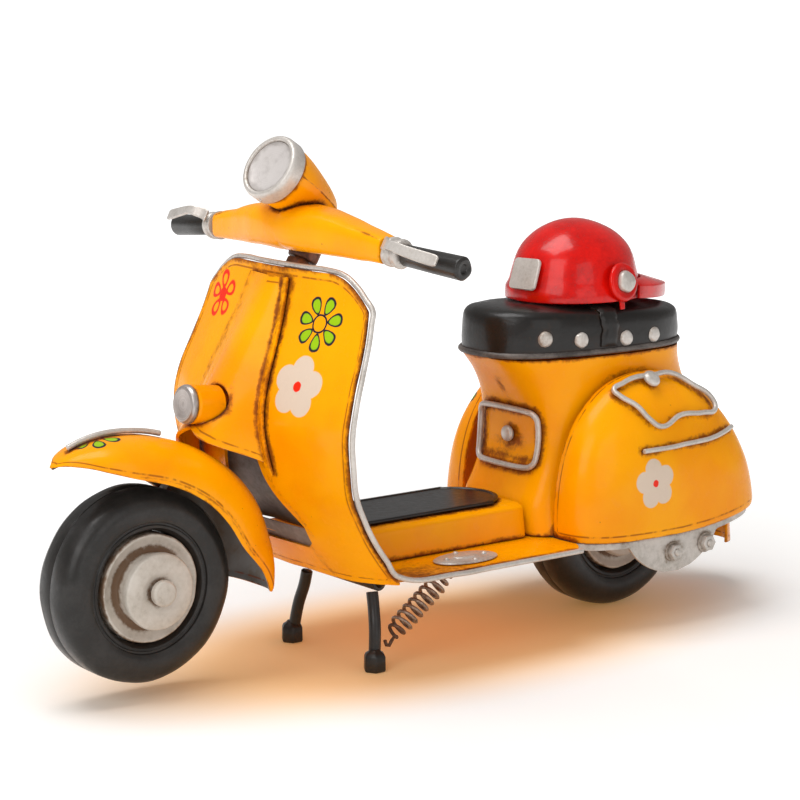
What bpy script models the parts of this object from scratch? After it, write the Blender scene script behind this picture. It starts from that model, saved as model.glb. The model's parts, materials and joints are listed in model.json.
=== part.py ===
"""Tin step-through scooter with a riding helmet on its seat.

World axes: +X forward, +Y to the rider's left, +Z up.  The origin is on the
ground, under the middle of the scooter's length and width.  The scooter stands
on its rear wheel and on the two feet of its centre stand, so its front wheel
hangs a few millimetres clear of the ground.
"""

import math

import bmesh
import bpy
from mathutils import Matrix, Vector

MM = 0.001
LEFT, RIGHT = 1, -1
SIDES = {"left": LEFT, "right": RIGHT}

# Driving dimensions, in millimetres
HALF_LENGTH = 135.5
SHEET = 1.0                  # thickness of the tin sheet
GAP = 0.35                   # room left between soldered pieces
WHEEL_RADIUS = 29.5
TYRE_HALF_WIDTH = 9.4
RIM_RADIUS = 16.4
AXLE_RADIUS = 2.0
WHEELBASE = 185.0
REAR_AXLE = (-79.0, 0.0, 29.5)
FRONT_AXLE = (REAR_AXLE[0] + WHEELBASE, 0.0, 34.5)
RAKE = math.radians(31.0)
COLUMN_TOP = (45.6, 0.0, 125.0)
STEM_RADIUS = 2.3
HEAD_TUBE_RADIUS = 4.0
FLOOR_TOP = 32.2
FLOOR_HALF_WIDTH = 39.5
FLOOR_REAR = -37.5
TUNNEL_TOP = 43.6
TUNNEL_HALF_WIDTH = 17.0
TUNNEL_REAR = -29.5
BODY_HALF_WIDTH = 22.0
BODY_MIDDLE_X = -70.0
SEAT_BASE = 90.0
SEAT_FRONT, SEAT_REAR = -22.5, -102.5
SEAT_HALF_WIDTH = 26.0
STRAP_X = -60.5
HELMET_CENTRE = (-65.0, 0.0, 106.2)
HELMET_TURN = 6.0            # degrees, as it was set down on the seat
HELMET_RADII = (23.4, 20.6, 25.6)
COWL_CENTRE = (-77.4, 31.4)  # along X and Z
COWL_RADII = (40.6, 17.8, 51.9)
COWL_RIM = 23.3
CASING_WALL = 1.2
CASING_INSET = 1.9
CASING_FACE = COWL_RIM + COWL_RADII[1] - CASING_INSET
BAR_END = (44.6, 43.6, 132.8)
GRIP_END = (41.2, 74.0, 130.2)
STAND_PIVOT = (31.0, 0.0, 27.0)
FOOT_POINT = (34.0, 22.0, 0.0)
STEER_DOWN = Vector((math.sin(RAKE), 0.0, -math.cos(RAKE)))

PAINT = ("orange_paint", (0.86, 0.38, 0.02), 0.35, 0.0)
BLACK = ("black_paint", (0.02, 0.02, 0.02), 0.4, 0.0)
TYRE = ("tyre_black", (0.02, 0.02, 0.02), 0.55, 0.0)
RED = ("red_paint", (0.75, 0.02, 0.02), 0.25, 0.0)
SILVER = ("silver_paint", (0.62, 0.60, 0.56), 0.45, 0.7)
CREAM = ("aged_steel", (0.66, 0.62, 0.50), 0.45, 0.3)
ALUMINIUM = ("spun_aluminium", (0.75, 0.75, 0.76), 0.3, 0.9)
LENS = ("frosted_lens", (0.78, 0.78, 0.76), 0.3, 0.1)
SPRING = ("spring_steel", (0.35, 0.24, 0.17), 0.5, 0.8)

for stale in list(bpy.data.objects):
    bpy.data.objects.remove(stale, do_unlink=True)
PARTS = bpy.data.collections.new("tin_scooter")
CUTTERS = bpy.data.collections.new("cutters")
for collection in (PARTS, CUTTERS):
    bpy.context.scene.collection.children.link(collection)


# ---------------------------------------------------------------- helpers

def mm(x, y, z):
    """A point given in millimetres, in metres."""
    return Vector((x, y, z)) * MM


def blend_table(value, table):
    """Smooth interpolation in a list of (position, result) rows."""
    if value <= table[0][0]:
        return table[0][1]
    for index in range(len(table) - 1):
        (p0, r0), (p1, r1) = table[index], table[index + 1]
        if value <= p1:
            before = table[max(index - 1, 0)]
            after = table[min(index + 2, len(table) - 1)]
            slope0 = (r1 - before[1]) / (p1 - before[0])
            slope1 = (after[1] - r0) / (after[0] - p0)
            span = p1 - p0
            t = (value - p0) / span
            return ((2 * t**3 - 3 * t**2 + 1) * r0 + (t**3 - 2 * t**2 + t) * span * slope0
                    + (3 * t**2 - 2 * t**3) * r1 + (t**3 - t**2) * span * slope1)
    return table[-1][1]


def finish_material(finish):
    """The Principled material of a finish, made once."""
    name, colour, roughness, metallic = finish
    found = bpy.data.materials.get(name)
    if found:
        return found
    made = bpy.data.materials.new(name)
    made.use_nodes = True
    shader = made.node_tree.nodes["Principled BSDF"]
    shader.inputs["Base Color"].default_value = (*colour, 1.0)
    shader.inputs["Roughness"].default_value = roughness
    shader.inputs["Metallic"].default_value = metallic
    made.diffuse_color = (*colour, 1.0)
    return made


def add_part(name, data, finish, smooth=True):
    """Link a mesh or curve as a named part with its finish."""
    part = bpy.data.objects.new(name, data)
    PARTS.objects.link(part)
    data.materials.append(finish_material(finish))
    if smooth and isinstance(data, bpy.types.Mesh):
        data.shade_smooth()
        data.set_sharp_from_angle(angle=math.radians(35))
    return part


def mesh_from(bm, name):
    mesh = bpy.data.meshes.new(name)
    bm.to_mesh(mesh)
    bm.free()
    return mesh


def along(part, start, direction):
    """Place a part's local Z on a line through start."""
    part.location = start
    part.rotation_mode = "QUATERNION"
    part.rotation_quaternion = Vector(direction).to_track_quat("Z", "Y")
    return part


def solidify(part, thickness, offset=-1.0):
    wall = part.modifiers.new("wall", "SOLIDIFY")
    wall.thickness = thickness * MM
    wall.offset = offset
    wall.use_even_offset = True
    return part


def formed_sheet(name, shape, columns, rows, finish, thickness=SHEET, offset=-1.0):
    """A flat grid pressed to shape(u, v), u and v from -1 to 1, then given its wall."""
    bm = bmesh.new()
    bmesh.ops.create_grid(bm, x_segments=columns, y_segments=rows, size=1.0)
    for vert in bm.verts:
        vert.co = shape(vert.co.x, vert.co.y)
    return solidify(add_part(name, mesh_from(bm, name), finish), thickness, offset)


def loft(name, rings, finish, capped=True):
    """Quads between rings of equal count; the ends are closed when capped."""
    bm = bmesh.new()
    rows = [[bm.verts.new(point) for point in ring] for ring in rings]
    count = len(rows[0])
    for lower, upper in zip(rows, rows[1:]):
        for i in range(count):
            j = (i + 1) % count
            bm.faces.new((lower[i], lower[j], upper[j], upper[i]))
    if capped:
        bm.faces.new(list(reversed(rows[0])))
        bm.faces.new(rows[-1])
    bmesh.ops.recalc_face_normals(bm, faces=bm.faces)
    return add_part(name, mesh_from(bm, name), finish)


def turned(name, profile, start, direction, finish, steps=24, ring=False):
    """A profile of (radius, height) rows, outer side running down, spun about an axis.

    A ring's profile closes on itself; a solid's profile starts and ends on the axis.
    """
    bm = bmesh.new()
    verts = [bm.verts.new(mm(radius, 0, height)) for radius, height in profile]
    pairs = list(zip(verts, verts[1:]))
    if ring:
        pairs.append((verts[-1], verts[0]))
    for a, b in pairs:
        bm.edges.new((a, b))
    part = add_part(name, mesh_from(bm, name), finish, smooth=False)
    spin = part.modifiers.new("spin", "SCREW")
    spin.steps = spin.render_steps = steps
    spin.use_merge_vertices = True
    spin.merge_threshold = 0.00001
    spin.use_smooth_shade = True
    return along(part, start, direction)


def disc(radius, low, high, edge=0.0):
    """Profile of a solid disc with an optional rounded upper edge."""
    if not edge:
        return [(0, high), (radius, high), (radius, low), (0, low)]
    return [(0, high), (radius - edge, high), (radius, high - edge), (radius, low), (0, low)]


def rod(name, start, end, radius, finish, sides=16):
    """A plain round rod between two points in millimetres."""
    a, b = mm(*start), mm(*end)
    bm = bmesh.new()
    bmesh.ops.create_cone(bm, cap_ends=True, segments=sides, radius1=radius * MM,
                          radius2=radius * MM, depth=(b - a).length)
    return along(add_part(name, mesh_from(bm, name), finish), (a + b) / 2, b - a)


def wire(name, points, radius, finish, closed=False, resolution=2):
    """A round wire through points in millimetres."""
    curve = bpy.data.curves.new(name, "CURVE")
    curve.dimensions = "3D"
    curve.bevel_depth = radius * MM
    curve.bevel_resolution = resolution
    curve.use_fill_caps = True
    spline = curve.splines.new("POLY")
    spline.points.add(len(points) - 1)
    spline.use_cyclic_u = closed
    for slot, point in zip(spline.points, points):
        slot.co = (*mm(*point), 1.0)
    return add_part(name, curve, finish)


def plate(name, outline, thickness, finish, matrix):
    """A flat outline in its own XY plane, given its thickness about that plane."""
    curve = bpy.data.curves.new(name, "CURVE")
    curve.dimensions = "2D"
    curve.fill_mode = "BOTH"
    curve.extrude = thickness / 2 * MM
    spline = curve.splines.new("POLY")
    spline.points.add(len(outline) - 1)
    spline.use_cyclic_u = True
    for slot, (x, y) in zip(spline.points, outline):
        slot.co = (x * MM, y * MM, 0.0, 1.0)
    part = add_part(name, curve, finish)
    part.matrix_world = matrix
    return part


def as_mesh(part):
    """Swap a curve part for the welded mesh it evaluates to."""
    graph = bpy.context.evaluated_depsgraph_get()
    mesh = bpy.data.meshes.new_from_object(part.evaluated_get(graph))
    bm = bmesh.new()
    bm.from_mesh(mesh)
    bmesh.ops.remove_doubles(bm, verts=bm.verts, dist=0.00001)
    bm.to_mesh(mesh)
    bm.free()
    name, matrix = part.name, part.matrix_world.copy()
    bpy.data.objects.remove(part, do_unlink=True)
    solid = bpy.data.objects.new(name, mesh)
    solid.name = name
    PARTS.objects.link(solid)
    solid.matrix_world = matrix
    return solid


def use_as_tool(target, tool, operation):
    """Cut or join a part with a tool that is not itself a part."""
    for holder in list(tool.users_collection):
        holder.objects.unlink(tool)
    CUTTERS.objects.link(tool)
    tool.hide_render = True
    tool.display_type = "WIRE"
    boolean = target.modifiers.new(operation.lower(), "BOOLEAN")
    boolean.object = tool
    boolean.operation = operation
    boolean.solver = "EXACT"


def arc(centre, radius, start, end, count):
    """Points of a circular arc in a plane, angles in degrees."""
    steps = [math.radians(start + (end - start) * i / (count - 1)) for i in range(count)]
    return [(centre[0] + radius * math.cos(a), centre[1] + radius * math.sin(a)) for a in steps]


def rounded_rectangle(half_width, half_height, radius, per_corner=4):
    """Outline of a rectangle with rounded corners, anticlockwise."""
    points = []
    for sx, sy, start in ((1, 1, 0), (-1, 1, 90), (-1, -1, 180), (1, -1, 270)):
        centre = (sx * (half_width - radius), sy * (half_height - radius))
        points += arc(centre, radius, start, start + 90, per_corner)
    return points


def superellipse(angle, semi_x, semi_y, power):
    c, s = math.cos(angle), math.sin(angle)
    x = math.copysign(abs(c) ** (2 / power), c) * semi_x
    y = math.copysign(abs(s) ** (2 / power), s) * semi_y
    return x, y


# ------------------------------------------------------- leg shield and apron

SHIELD_EDGE = [(31, 36.5), (36, 41.5), (44, 48.5), (52, 54), (61, 58.8), (70, 61), (79, 61.8),
               (85, 61), (93, 58.5), (100, 55.6), (109, 52.3), (118, 50), (125, 48.6)]
SHIELD_BULGE = [(31, 9.5), (38, 8.5), (48, 7.5), (60, 7.5), (80, 7.5), (100, 7), (112, 6), (125, 4.5)]
SHIELD_HALF_WIDTH = [(31, 38), (36, 39.5), (44, 41), (52, 42.5), (61, 44), (70, 45.5), (79, 46),
                     (85, 46), (93, 45), (100, 43.8), (109, 42.2), (118, 40.6), (125, 39.4)]
SHIELD_BOTTOM, SHIELD_TOP = 31.0, 124.6


def shield_x(y, z):
    """Front face of the leg shield: a sheet bowed forward in the middle."""
    across = min(abs(y) / blend_table(z, SHIELD_HALF_WIDTH), 1.0)
    power = 2.0 + 2.5 * max(0.0, (50.0 - z) / 19.0)
    return blend_table(z, SHIELD_EDGE) + blend_table(z, SHIELD_BULGE) * (1 - across ** power)


def shield_rim(across):
    """Height of the shield's top edge: level, then rounded down at the corners."""
    return SHIELD_TOP - 9.5 * (max(0.0, abs(across) - 0.58) / 0.42) ** 2.2


def make_leg_shield():
    def shape(u, v):
        z = SHIELD_BOTTOM + (v + 1) / 2 * (shield_rim(u) - SHIELD_BOTTOM)
        y = u * blend_table(z, SHIELD_HALF_WIDTH)
        return mm(shield_x(y, z), y, z)

    shield = formed_sheet("leg_shield", shape, 12, 12, PAINT)
    half = [(4.7, 119), (4.7, 88), (7, 74), (10, 64), (14, 55), (18.5, 48), (18, 42.5), (15, 40.5)]
    outline = half + [(-y, z) for y, z in reversed(half)]
    turn = Matrix.Translation(mm(60, 0, 0)) @ Matrix(
        ((0, 0, 1, 0), (1, 0, 0, 0), (0, 1, 0, 0), (0, 0, 0, 1)))
    cutter = as_mesh(plate("column_opening", outline, 60, PAINT, turn))
    use_as_tool(shield, cutter, "DIFFERENCE")


APRON_RIDGE = [(76, 87.5), (80, 83.2), (86, 78), (94.6, 71.8), (103, 66.4), (112, 61), (122, 55.8)]
APRON_TOP = 122.0
HORN_BASE = (69.5, 0.0, 84.3)
HORN_TIP = (99.4, 0.0, 87.3)
HORN_RADIUS = 5.8


def apron_lip(y):
    """Height of the apron's lower lip, which rises to the middle."""
    return 77.2 - 13.2 * min(1.3, abs(y) / 16.5) ** 1.25


def make_horn_apron():
    """Front cover: folded along a flange on the left, swept smoothly into the right wing."""
    def shape(u, v):
        down = (1 - v) / 2
        flange = 7.0 + 9.5 * down
        fold = 4.6 + 8.7 * down
        sweep = 13.0 + 17.0 * down
        bend = 0.78
        if u > bend:
            y = fold + (flange - fold) * (u - bend) / (1 - bend)
        elif u > 0:
            y = fold * u / bend
        else:
            y = sweep * u
        z = APRON_TOP - down * (APRON_TOP - apron_lip(y))
        face = shield_x(y, z) + GAP + 0.05
        if u >= bend:
            rise = 0.0
        elif u > 0:
            rise = math.cos(math.pi / 2 * u / bend) ** 1.15
        else:
            rise = (0.5 + 0.5 * math.cos(math.pi * u)) ** 1.1
        return mm(face + (blend_table(z, APRON_RIDGE) - shield_x(0, z)) * rise, y, z)

    apron = formed_sheet("horn_apron", shape, 14, 7, PAINT, offset=1.0)
    hole = rod("horn_hole", HORN_BASE, HORN_TIP, HORN_RADIUS + GAP, PAINT, 20)
    use_as_tool(apron, hole, "DIFFERENCE")


def make_horn():
    """Round housing that passes through the apron, with its spun cap."""
    base = mm(*HORN_BASE)
    direction = Vector(HORN_TIP) - Vector(HORN_BASE)
    housing = disc(HORN_RADIUS, 7.4, 16.9, 0.3)
    turned("horn_housing", housing, base, direction, PAINT, 20)
    cap = [(0, 19.4), (4.4, 19.2), (5.7, 18.4), (5.9, 17.25), (0, 17.25)]
    turned("horn_cap", cap, base, direction, ALUMINIUM, 20)


COVER_BULGE = [(45.6, 5.0), (60, 4.2), (75, 4.4), (86, 6.2), (100, 8.4), (112, 10.0), (120, 11.0)]
COVER_HALF_WIDTH = [(45.6, 20.5), (55, 17.5), (64, 12.5), (74, 9.6), (90, 8.6), (120, 8.6)]


def make_column_cover():
    """Channel behind the shield that hides the head tube and closes the column opening."""
    def shape(u, v):
        z = 45.6 + (v + 1) / 2 * (119.6 - 45.6)
        y = u * blend_table(z, COVER_HALF_WIDTH)
        hollow = math.cos(math.pi / 2 * abs(u)) ** 0.7 * blend_table(z, COVER_BULGE)
        return mm(shield_x(y, z) - SHEET - GAP - 0.1 - hollow, y, z)

    formed_sheet("column_cover", shape, 10, 9, PAINT, 0.9)


def make_shield_trim():
    """Silver beading round the floor edges, the shield's sides and its top."""
    reach = SHEET / 2 + GAP
    right = [(-34, -FLOOR_HALF_WIDTH - 1.3), (-10, -FLOOR_HALF_WIDTH - 1.3),
             (16, -FLOOR_HALF_WIDTH - 1.3)]
    points = [(x, y, FLOOR_TOP - 0.5) for x, y in right]
    heights = [34, 40, 47, 54, 62, 70, 79, 88, 97, 106, 112]
    for z in heights:
        half = blend_table(z, SHIELD_HALF_WIDTH)
        points.append((shield_x(half, z) - reach, -half - 1.3, z))
    for across in (-1.0, -0.93, -0.84, -0.72, -0.55, -0.3, 0.0):
        z = shield_rim(across)
        y = across * blend_table(z, SHIELD_HALF_WIDTH)
        out = Vector((0, across ** 3, 1 - abs(across ** 3))).normalized() * 1.3
        points.append((shield_x(y, z) - reach, y + out.y, z + out.z))
    points += [(x, -y, z) for x, y, z in reversed(points[:-1])]
    wire("shield_trim", points, 0.85, SILVER, resolution=1)


# -------------------------------------------------------------- floor and tunnel

def make_floorboard():
    edge = FLOOR_HALF_WIDTH
    front = []
    for step in range(9):
        y = -36.5 + 73.0 * step / 8
        front.append((shield_x(y, FLOOR_TOP - SHEET) - 1.5 * SHEET - GAP - 0.3, y))
    left = [(30, edge - 1), (24, edge), (-26, edge)] + arc((-30, edge - 8), 8, 90, 180, 5)
    left += [(FLOOR_REAR, 24), (FLOOR_REAR, 0)]
    right = [(x, -y) for x, y in reversed(left[:-1])]
    level = Matrix.Translation(mm(0, 0, FLOOR_TOP - SHEET / 2))
    plate("floorboard", front + left + right, SHEET, PAINT, level)


def make_tunnel():
    top, foot = TUNNEL_TOP, FLOOR_TOP + GAP

    def shape(u, v):
        turn = abs(u)
        if turn > 0.6:
            rise = (1 - turn) / 0.4
            y = TUNNEL_HALF_WIDTH + 1.2 * (1 - rise)
            z = foot + (top - 2.2 - foot) * rise
        else:
            lean = turn / 0.6
            y = TUNNEL_HALF_WIDTH * min(1.0, lean * 1.08)
            z = top - 2.2 * max(0.0, (lean - 0.7) / 0.3) ** 2
        y = math.copysign(y, u)
        front = shield_x(y, z) - SHEET - GAP - 0.4
        x = TUNNEL_REAR + (v + 1) / 2 * (front - TUNNEL_REAR)
        return mm(x, y, z)

    formed_sheet("tunnel", shape, 16, 5, PAINT, offset=1.0)


def make_tunnel_mat():
    half = 14.0
    front, rear = 46.0, -28.0
    outline = [(front, -half), (front, half), (rear + 8, half)]
    outline += arc((rear + half - 1, 0), half, 112, 248, 7) + [(rear + 8, -half)]
    level = Matrix.Translation(mm(0, 0, TUNNEL_TOP + GAP + 0.6))
    plate("tunnel_mat", outline, 1.2, BLACK, level)


def make_foot_plates():
    for side, sign in SIDES.items():
        pad = [(0, 1.5), (5.5, 1.3), (9.2, 0.4), (9.4, 0), (0, 0)]
        part = turned(f"foot_plate_{side}", pad, mm(4, sign * 29.0, FLOOR_TOP + GAP),
                      (0, 0, 1), SILVER, 20)
        part.scale = (1.25, 0.72, 1.0)


# -------------------------------------------------------------- body and cowls

BODY_FRONT = [(32.6, -30.8), (42, -31.2), (48, -34), (55, -37), (64, -38.4), (74, -37), (83, -31.5),
              (89.3, -25.5)]
BODY_REAR = [(32.6, -132.6), (42, -131), (52, -127), (60, -120.5), (68, -113), (76, -106), (83, -102.5),
             (89.3, -101)]
BODY_WIDTH = [(32.6, 25.5), (40, 23.4), (50, 22.0), (75, 21.6), (83, 22.2), (89.3, 23.2)]
BODY_NOSE = [(32.6, 5.0), (70, 5.0), (82, 3.6), (89.3, 2.9)]


def body_ring(z, inset=0.0, count=24):
    """Level outline of the body: flat-nosed in front, rounder at the tail."""
    half = blend_table(z, BODY_WIDTH) - inset
    front = blend_table(z, BODY_FRONT) - inset
    rear = blend_table(z, BODY_REAR) + inset
    points = []
    for step in range(count):
        angle = 2 * math.pi * (step + 0.5) / count
        ahead = math.cos(angle) > 0
        reach = front - BODY_MIDDLE_X if ahead else BODY_MIDDLE_X - rear
        x, y = superellipse(angle, reach, half, blend_table(z, BODY_NOSE) if ahead else 3.0)
        points.append(mm(BODY_MIDDLE_X + x, y, z))
    return points


def make_body_shell():
    heights = [32.7, 41, 47.5, 55, 64, 73, 80, 85.5, 89.3]
    rings = [body_ring(z) for z in heights]
    shell = loft("body_shell", rings, PAINT, capped=False)
    solidify(shell, SHEET, -1.0)


def make_glovebox():
    corners = rounded_rectangle(14.4, 9.0, 3.4, 4)
    points = []
    for y, height in corners:
        z = 62.4 + height
        nose = blend_table(z, BODY_FRONT) - BODY_MIDDLE_X
        bow = (abs(y) / BODY_HALF_WIDTH) ** 5.0
        points.append((BODY_MIDDLE_X + nose * (1 - bow) ** 0.2 + 1.4, y, z))
    wire("glovebox_frame", points, 0.95, SILVER, closed=True)
    knob = [(0, 2.4), (1.8, 2.2), (2.7, 1.4), (2.7, 0), (0, 0)]
    turned("glovebox_knob", knob, mm(-37.9, 0, 63.0), (1, 0, 0), SILVER, 16)


def cowl_bottom(x):
    """Lower edge of a cowl, which climbs towards the tail."""
    along_x = (x - COWL_CENTRE[0]) / COWL_RADII[0]
    return COWL_CENTRE[1] + 5.0 * max(0.0, -along_x) ** 1.5 + 1.0 * max(0.0, along_x) ** 4


def cowl_surface(across, up):
    """Left cowl: a bulged half dome; across runs from 1 (front) to -1 (rear), up from 0 to 1."""
    tall = math.pi / 2 * up
    upright = 2.35 if across > 0 else 2.0
    shrink = math.cos(tall) ** (2 / upright)
    rise = math.sin(tall) ** (2 / upright)
    cx, cy = superellipse(math.pi / 2 * (1 - across), 1.0, 1.0, 3.5 - 1.2 * up)
    x = COWL_CENTRE[0] + COWL_RADII[0] * cx * shrink + 3.0 * up
    y = COWL_RIM + COWL_RADII[1] * cy * shrink
    bottom = cowl_bottom(x)
    return x, y, bottom + (COWL_CENTRE[1] + COWL_RADII[2] - bottom) * rise


def make_side_cowls():
    for side, sign in SIDES.items():
        def shape(u, v):
            x, y, z = cowl_surface(u, (v + 1) / 2 * 0.985)
            return mm(x, sign * y, z)

        formed_sheet(f"side_cowl_{side}", shape, 13, 8, PAINT, offset=sign)


def casing_depth(x):
    """Lower edge of the engine casing: a shallow band with one deep lobe."""
    lobe = max(0.0, 1 - ((x + 75.5) / 19.0) ** 2)
    return 2.2 + 10.2 * lobe ** 0.75


def make_engine_casings():
    for side, sign in SIDES.items():
        def shape(u, v):
            cx, cy = superellipse(math.pi / 2 * (1 - 0.9 * u), 1.0, 1.0, 3.5)
            x = COWL_CENTRE[0] + (COWL_RADII[0] - 1.6) * cx
            y = CASING_FACE - (COWL_RADII[1] - CASING_INSET) * (1 - cy)
            top = cowl_bottom(x) - GAP - 0.1
            return mm(x, sign * y, top - (1 - v) / 2 * casing_depth(x))

        formed_sheet(f"engine_casing_{side}", shape, 20, 3, SILVER, CASING_WALL, offset=sign)
        for place, (x, z) in {"front": (-74.6, 25.4), "rear": (-89.2, 26.4)}.items():
            y = CASING_FACE + GAP
            nut = turned(f"casing_nut_{side}_{place}",
                         [(2.6, 2.4), (2.6, 0), (1.1, 0), (1.1, 2.4)],
                         mm(x, sign * y, z), (0, sign, 0), SILVER, 6, ring=True)
            nut.modifiers["spin"].use_smooth_shade = False


def make_cowl_brightwork():
    """Wire loop and flat strip soldered on each cowl."""
    loop = [(-56.7, 0.688), (-60.5, 0.744), (-65.1, 0.794), (-72, 0.81), (-82, 0.80), (-88.8, 0.681),
            (-96.3, 0.556), (-95.8, 0.506), (-89.3, 0.506), (-78.6, 0.506), (-68.9, 0.45),
            (-64.5, 0.494), (-61.2, 0.575), (-57.1, 0.65)]
    for side, sign in SIDES.items():
        points = []
        for x, up in loop:
            points.append(on_cowl(x, up, 1.8, sign))
        handle = as_mesh(wire(f"cowl_handle_{side}", points, 0.85, SILVER, closed=True))
        low, high = on_cowl(-71.1, 0.775, 0.6, sign), on_cowl(-71.1, 0.775, 3.2, sign)
        use_as_tool(handle, rod("knob", low, high, 3.0, SILVER, 14), "UNION")
        strip = []
        for step in range(8):
            strip.append(on_cowl(-60.8 - 6.1 * step, 0.331 + 0.0085 * step, 1.3, sign))
        wire(f"cowl_strip_{side}", strip, 0.8, SILVER)


def on_cowl(x, up, clear, sign):
    """Point a little clear of the cowl at a given x and height fraction."""
    low, high = -1.0, 1.0
    for _ in range(30):
        middle = (low + high) / 2
        if cowl_surface(middle, up)[0] < x:
            low = middle
        else:
            high = middle
    here = Vector(cowl_surface(middle, up))
    ahead = Vector(cowl_surface(min(middle + 0.02, 1.0), up))
    above = Vector(cowl_surface(middle, up + 0.01))
    normal = (above - here).cross(ahead - here).normalized()
    if normal.y < 0:
        normal.negate()
    point = here + normal * clear
    return point.x, sign * point.y, point.z


def make_tail_flap():
    """Splash guard that closes the body behind the rear wheel."""
    def shape(u, v):
        fall = (1 - v) / 2
        bow = 1 - u * u
        x = -HALF_LENGTH + 12.0 - (9.0 + 3.0 * fall) * bow
        return mm(x, 15.0 * u, 31.8 - 17.0 * fall + 2.0 * u * u * fall)

    formed_sheet("tail_flap", shape, 10, 4, PAINT, offset=1.0)


# -------------------------------------------------------------- seat and helmet

SEAT_MIDDLE_X = (SEAT_FRONT + SEAT_REAR) / 2
SEAT_REACH = (SEAT_FRONT - SEAT_REAR) / 2
SEAT_POWER = 2.8


def seat_taper(ahead):
    """The seat narrows from its tail, ahead = -1, to its nose, ahead = 1."""
    return 1.0 - 0.2 * max(0.0, (ahead + 1) / 2) ** 1.5


def seat_ring(z, inset, tilt=0.0, count=28):
    """Level outline of the seat, lifted by tilt towards the nose."""
    points = []
    for step in range(count):
        angle = 2 * math.pi * (step + 0.5) / count
        x, y = superellipse(angle, SEAT_REACH - inset, SEAT_HALF_WIDTH - inset, SEAT_POWER)
        ahead = x / SEAT_REACH
        points.append(mm(SEAT_MIDDLE_X + x, y * seat_taper(ahead), z + tilt * ahead))
    return points


def seat_side(x, inset):
    """Half the seat's width at a place along it."""
    ahead = (x - SEAT_MIDDLE_X) / SEAT_REACH
    along_x = abs(x - SEAT_MIDDLE_X) / (SEAT_REACH - inset)
    bow = max(0.0, 1 - along_x ** SEAT_POWER) ** (1 / SEAT_POWER)
    return (SEAT_HALF_WIDTH - inset) * bow * seat_taper(ahead)


SEAT_RINGS = [(0.0, 1.6, 0.0), (0.0, -0.2, 0.0), (1.6, -0.2, 0.0), (2.0, 1.0, 0.0), (10.8, 1.5, 1.0),
              (13.2, 3.2, 1.5), (14.4, 7.0, 1.6), (14.9, 14.0, 1.5)]


def make_seat():
    rings = [seat_ring(SEAT_BASE + rise, inset, tilt) for rise, inset, tilt in SEAT_RINGS]
    loft("seat", rings, BLACK)


def make_seat_strap():
    """Strap over the seat's skirts and top."""
    x = STRAP_X
    clear = GAP + 0.1
    path = []
    for rise, inset, _ in SEAT_RINGS[3:]:
        path.append((seat_side(x, inset) + clear, SEAT_BASE + rise + 0.6))
    path[0] = (path[0][0], SEAT_BASE + 2.6)
    path[-1] = (0.0, SEAT_BASE + 14.9 + clear)
    path += [(-y, z) for y, z in reversed(path[:-1])]

    def shape(u, v):
        spot = (v + 1) / 2 * (len(path) - 1)
        index = min(int(spot), len(path) - 2)
        share = spot - index
        y = path[index][0] * (1 - share) + path[index + 1][0] * share
        z = path[index][1] * (1 - share) + path[index + 1][1] * share
        return mm(x + u * 3.5, y, z)

    formed_sheet("seat_strap", shape, 1, len(path) - 1, BLACK, 0.7)


PEAK_HEIGHT = 6.4
PEAK_REACH = math.radians(73)
PEAK_LEVEL = math.sqrt(1 - (PEAK_HEIGHT / HELMET_RADII[2]) ** 2)


def helmet_frame():
    """Turn of the helmet about the upright line through its middle."""
    return (Matrix.Translation(mm(*HELMET_CENTRE))
            @ Matrix.Rotation(math.radians(HELMET_TURN), 4, "Z"))


def make_helmet():
    bm = bmesh.new()
    bmesh.ops.create_uvsphere(bm, u_segments=20, v_segments=12, radius=1.0)
    everything = list(bm.verts) + list(bm.edges) + list(bm.faces)
    bmesh.ops.bisect_plane(bm, geom=everything, plane_co=(0, 0, 0), plane_no=(0, 0, -1),
                           clear_outer=True, dist=0.0001)
    bmesh.ops.scale(bm, vec=Vector(HELMET_RADII) * MM, verts=bm.verts)
    dome = add_part("helmet_shell", mesh_from(bm, "helmet_shell"), RED)
    dome.matrix_world = helmet_frame()
    solidify(dome, 1.2)

    def peak(u, v):
        angle = math.pi + u * PEAK_REACH
        out = min(1.0, (v + 1) / 1.2)
        skirt = max(0.0, (v - 0.2) / 0.8)
        behind = math.cos(u * PEAK_REACH)
        tip = 14.6 * behind ** 0.9 * out
        start = 0.9 + 0.8 * out
        x = (HELMET_RADII[0] * PEAK_LEVEL + start + tip) * math.cos(angle)
        y = (HELMET_RADII[1] * PEAK_LEVEL + start + tip * 0.2) * math.sin(angle)
        return helmet_frame() @ mm(x, y, PEAK_HEIGHT - (0.9 + 3.4 * behind) * out - 4.3 * skirt)

    formed_sheet("helmet_peak", peak, 16, 5, RED, 0.9, offset=1.0)


def on_helmet(azimuth, height, clear=0.0):
    """Point and outward direction on the helmet's dome, before it is turned."""
    a, b, c = HELMET_RADII
    level = math.sqrt(1 - (height / c) ** 2)
    turn = math.radians(azimuth)
    local = Vector((a * level * math.cos(turn), b * level * math.sin(turn), height))
    normal = Vector((local.x / a**2, local.y / b**2, local.z / c**2)).normalized()
    return local + normal * clear, normal


def make_helmet_fittings():
    for side, sign in SIDES.items():
        spot, normal = on_helmet(sign * 90, 6.0, 1.2)
        ear = [(0, 3.4), (2.9, 3.4), (3.2, 2.9), (3.2, 1.5), (5.8, 1.3), (6.3, 0.7), (6.3, 0.0), (0, 0.0)]
        knob = turned(f"helmet_ear_{side}", ear, spot * MM, normal, RED, 18)
        knob.matrix_world = helmet_frame() @ knob.matrix_basis
    spot, normal = on_helmet(0, 8.6, 1.3)
    pane = rounded_rectangle(6.4, 4.9, 1.4, 3)
    frame = Matrix.Translation(spot * MM) @ normal.to_track_quat("Z", "Y").to_matrix().to_4x4()
    plate("helmet_badge", pane, 1.2, SILVER, helmet_frame() @ frame)


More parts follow.
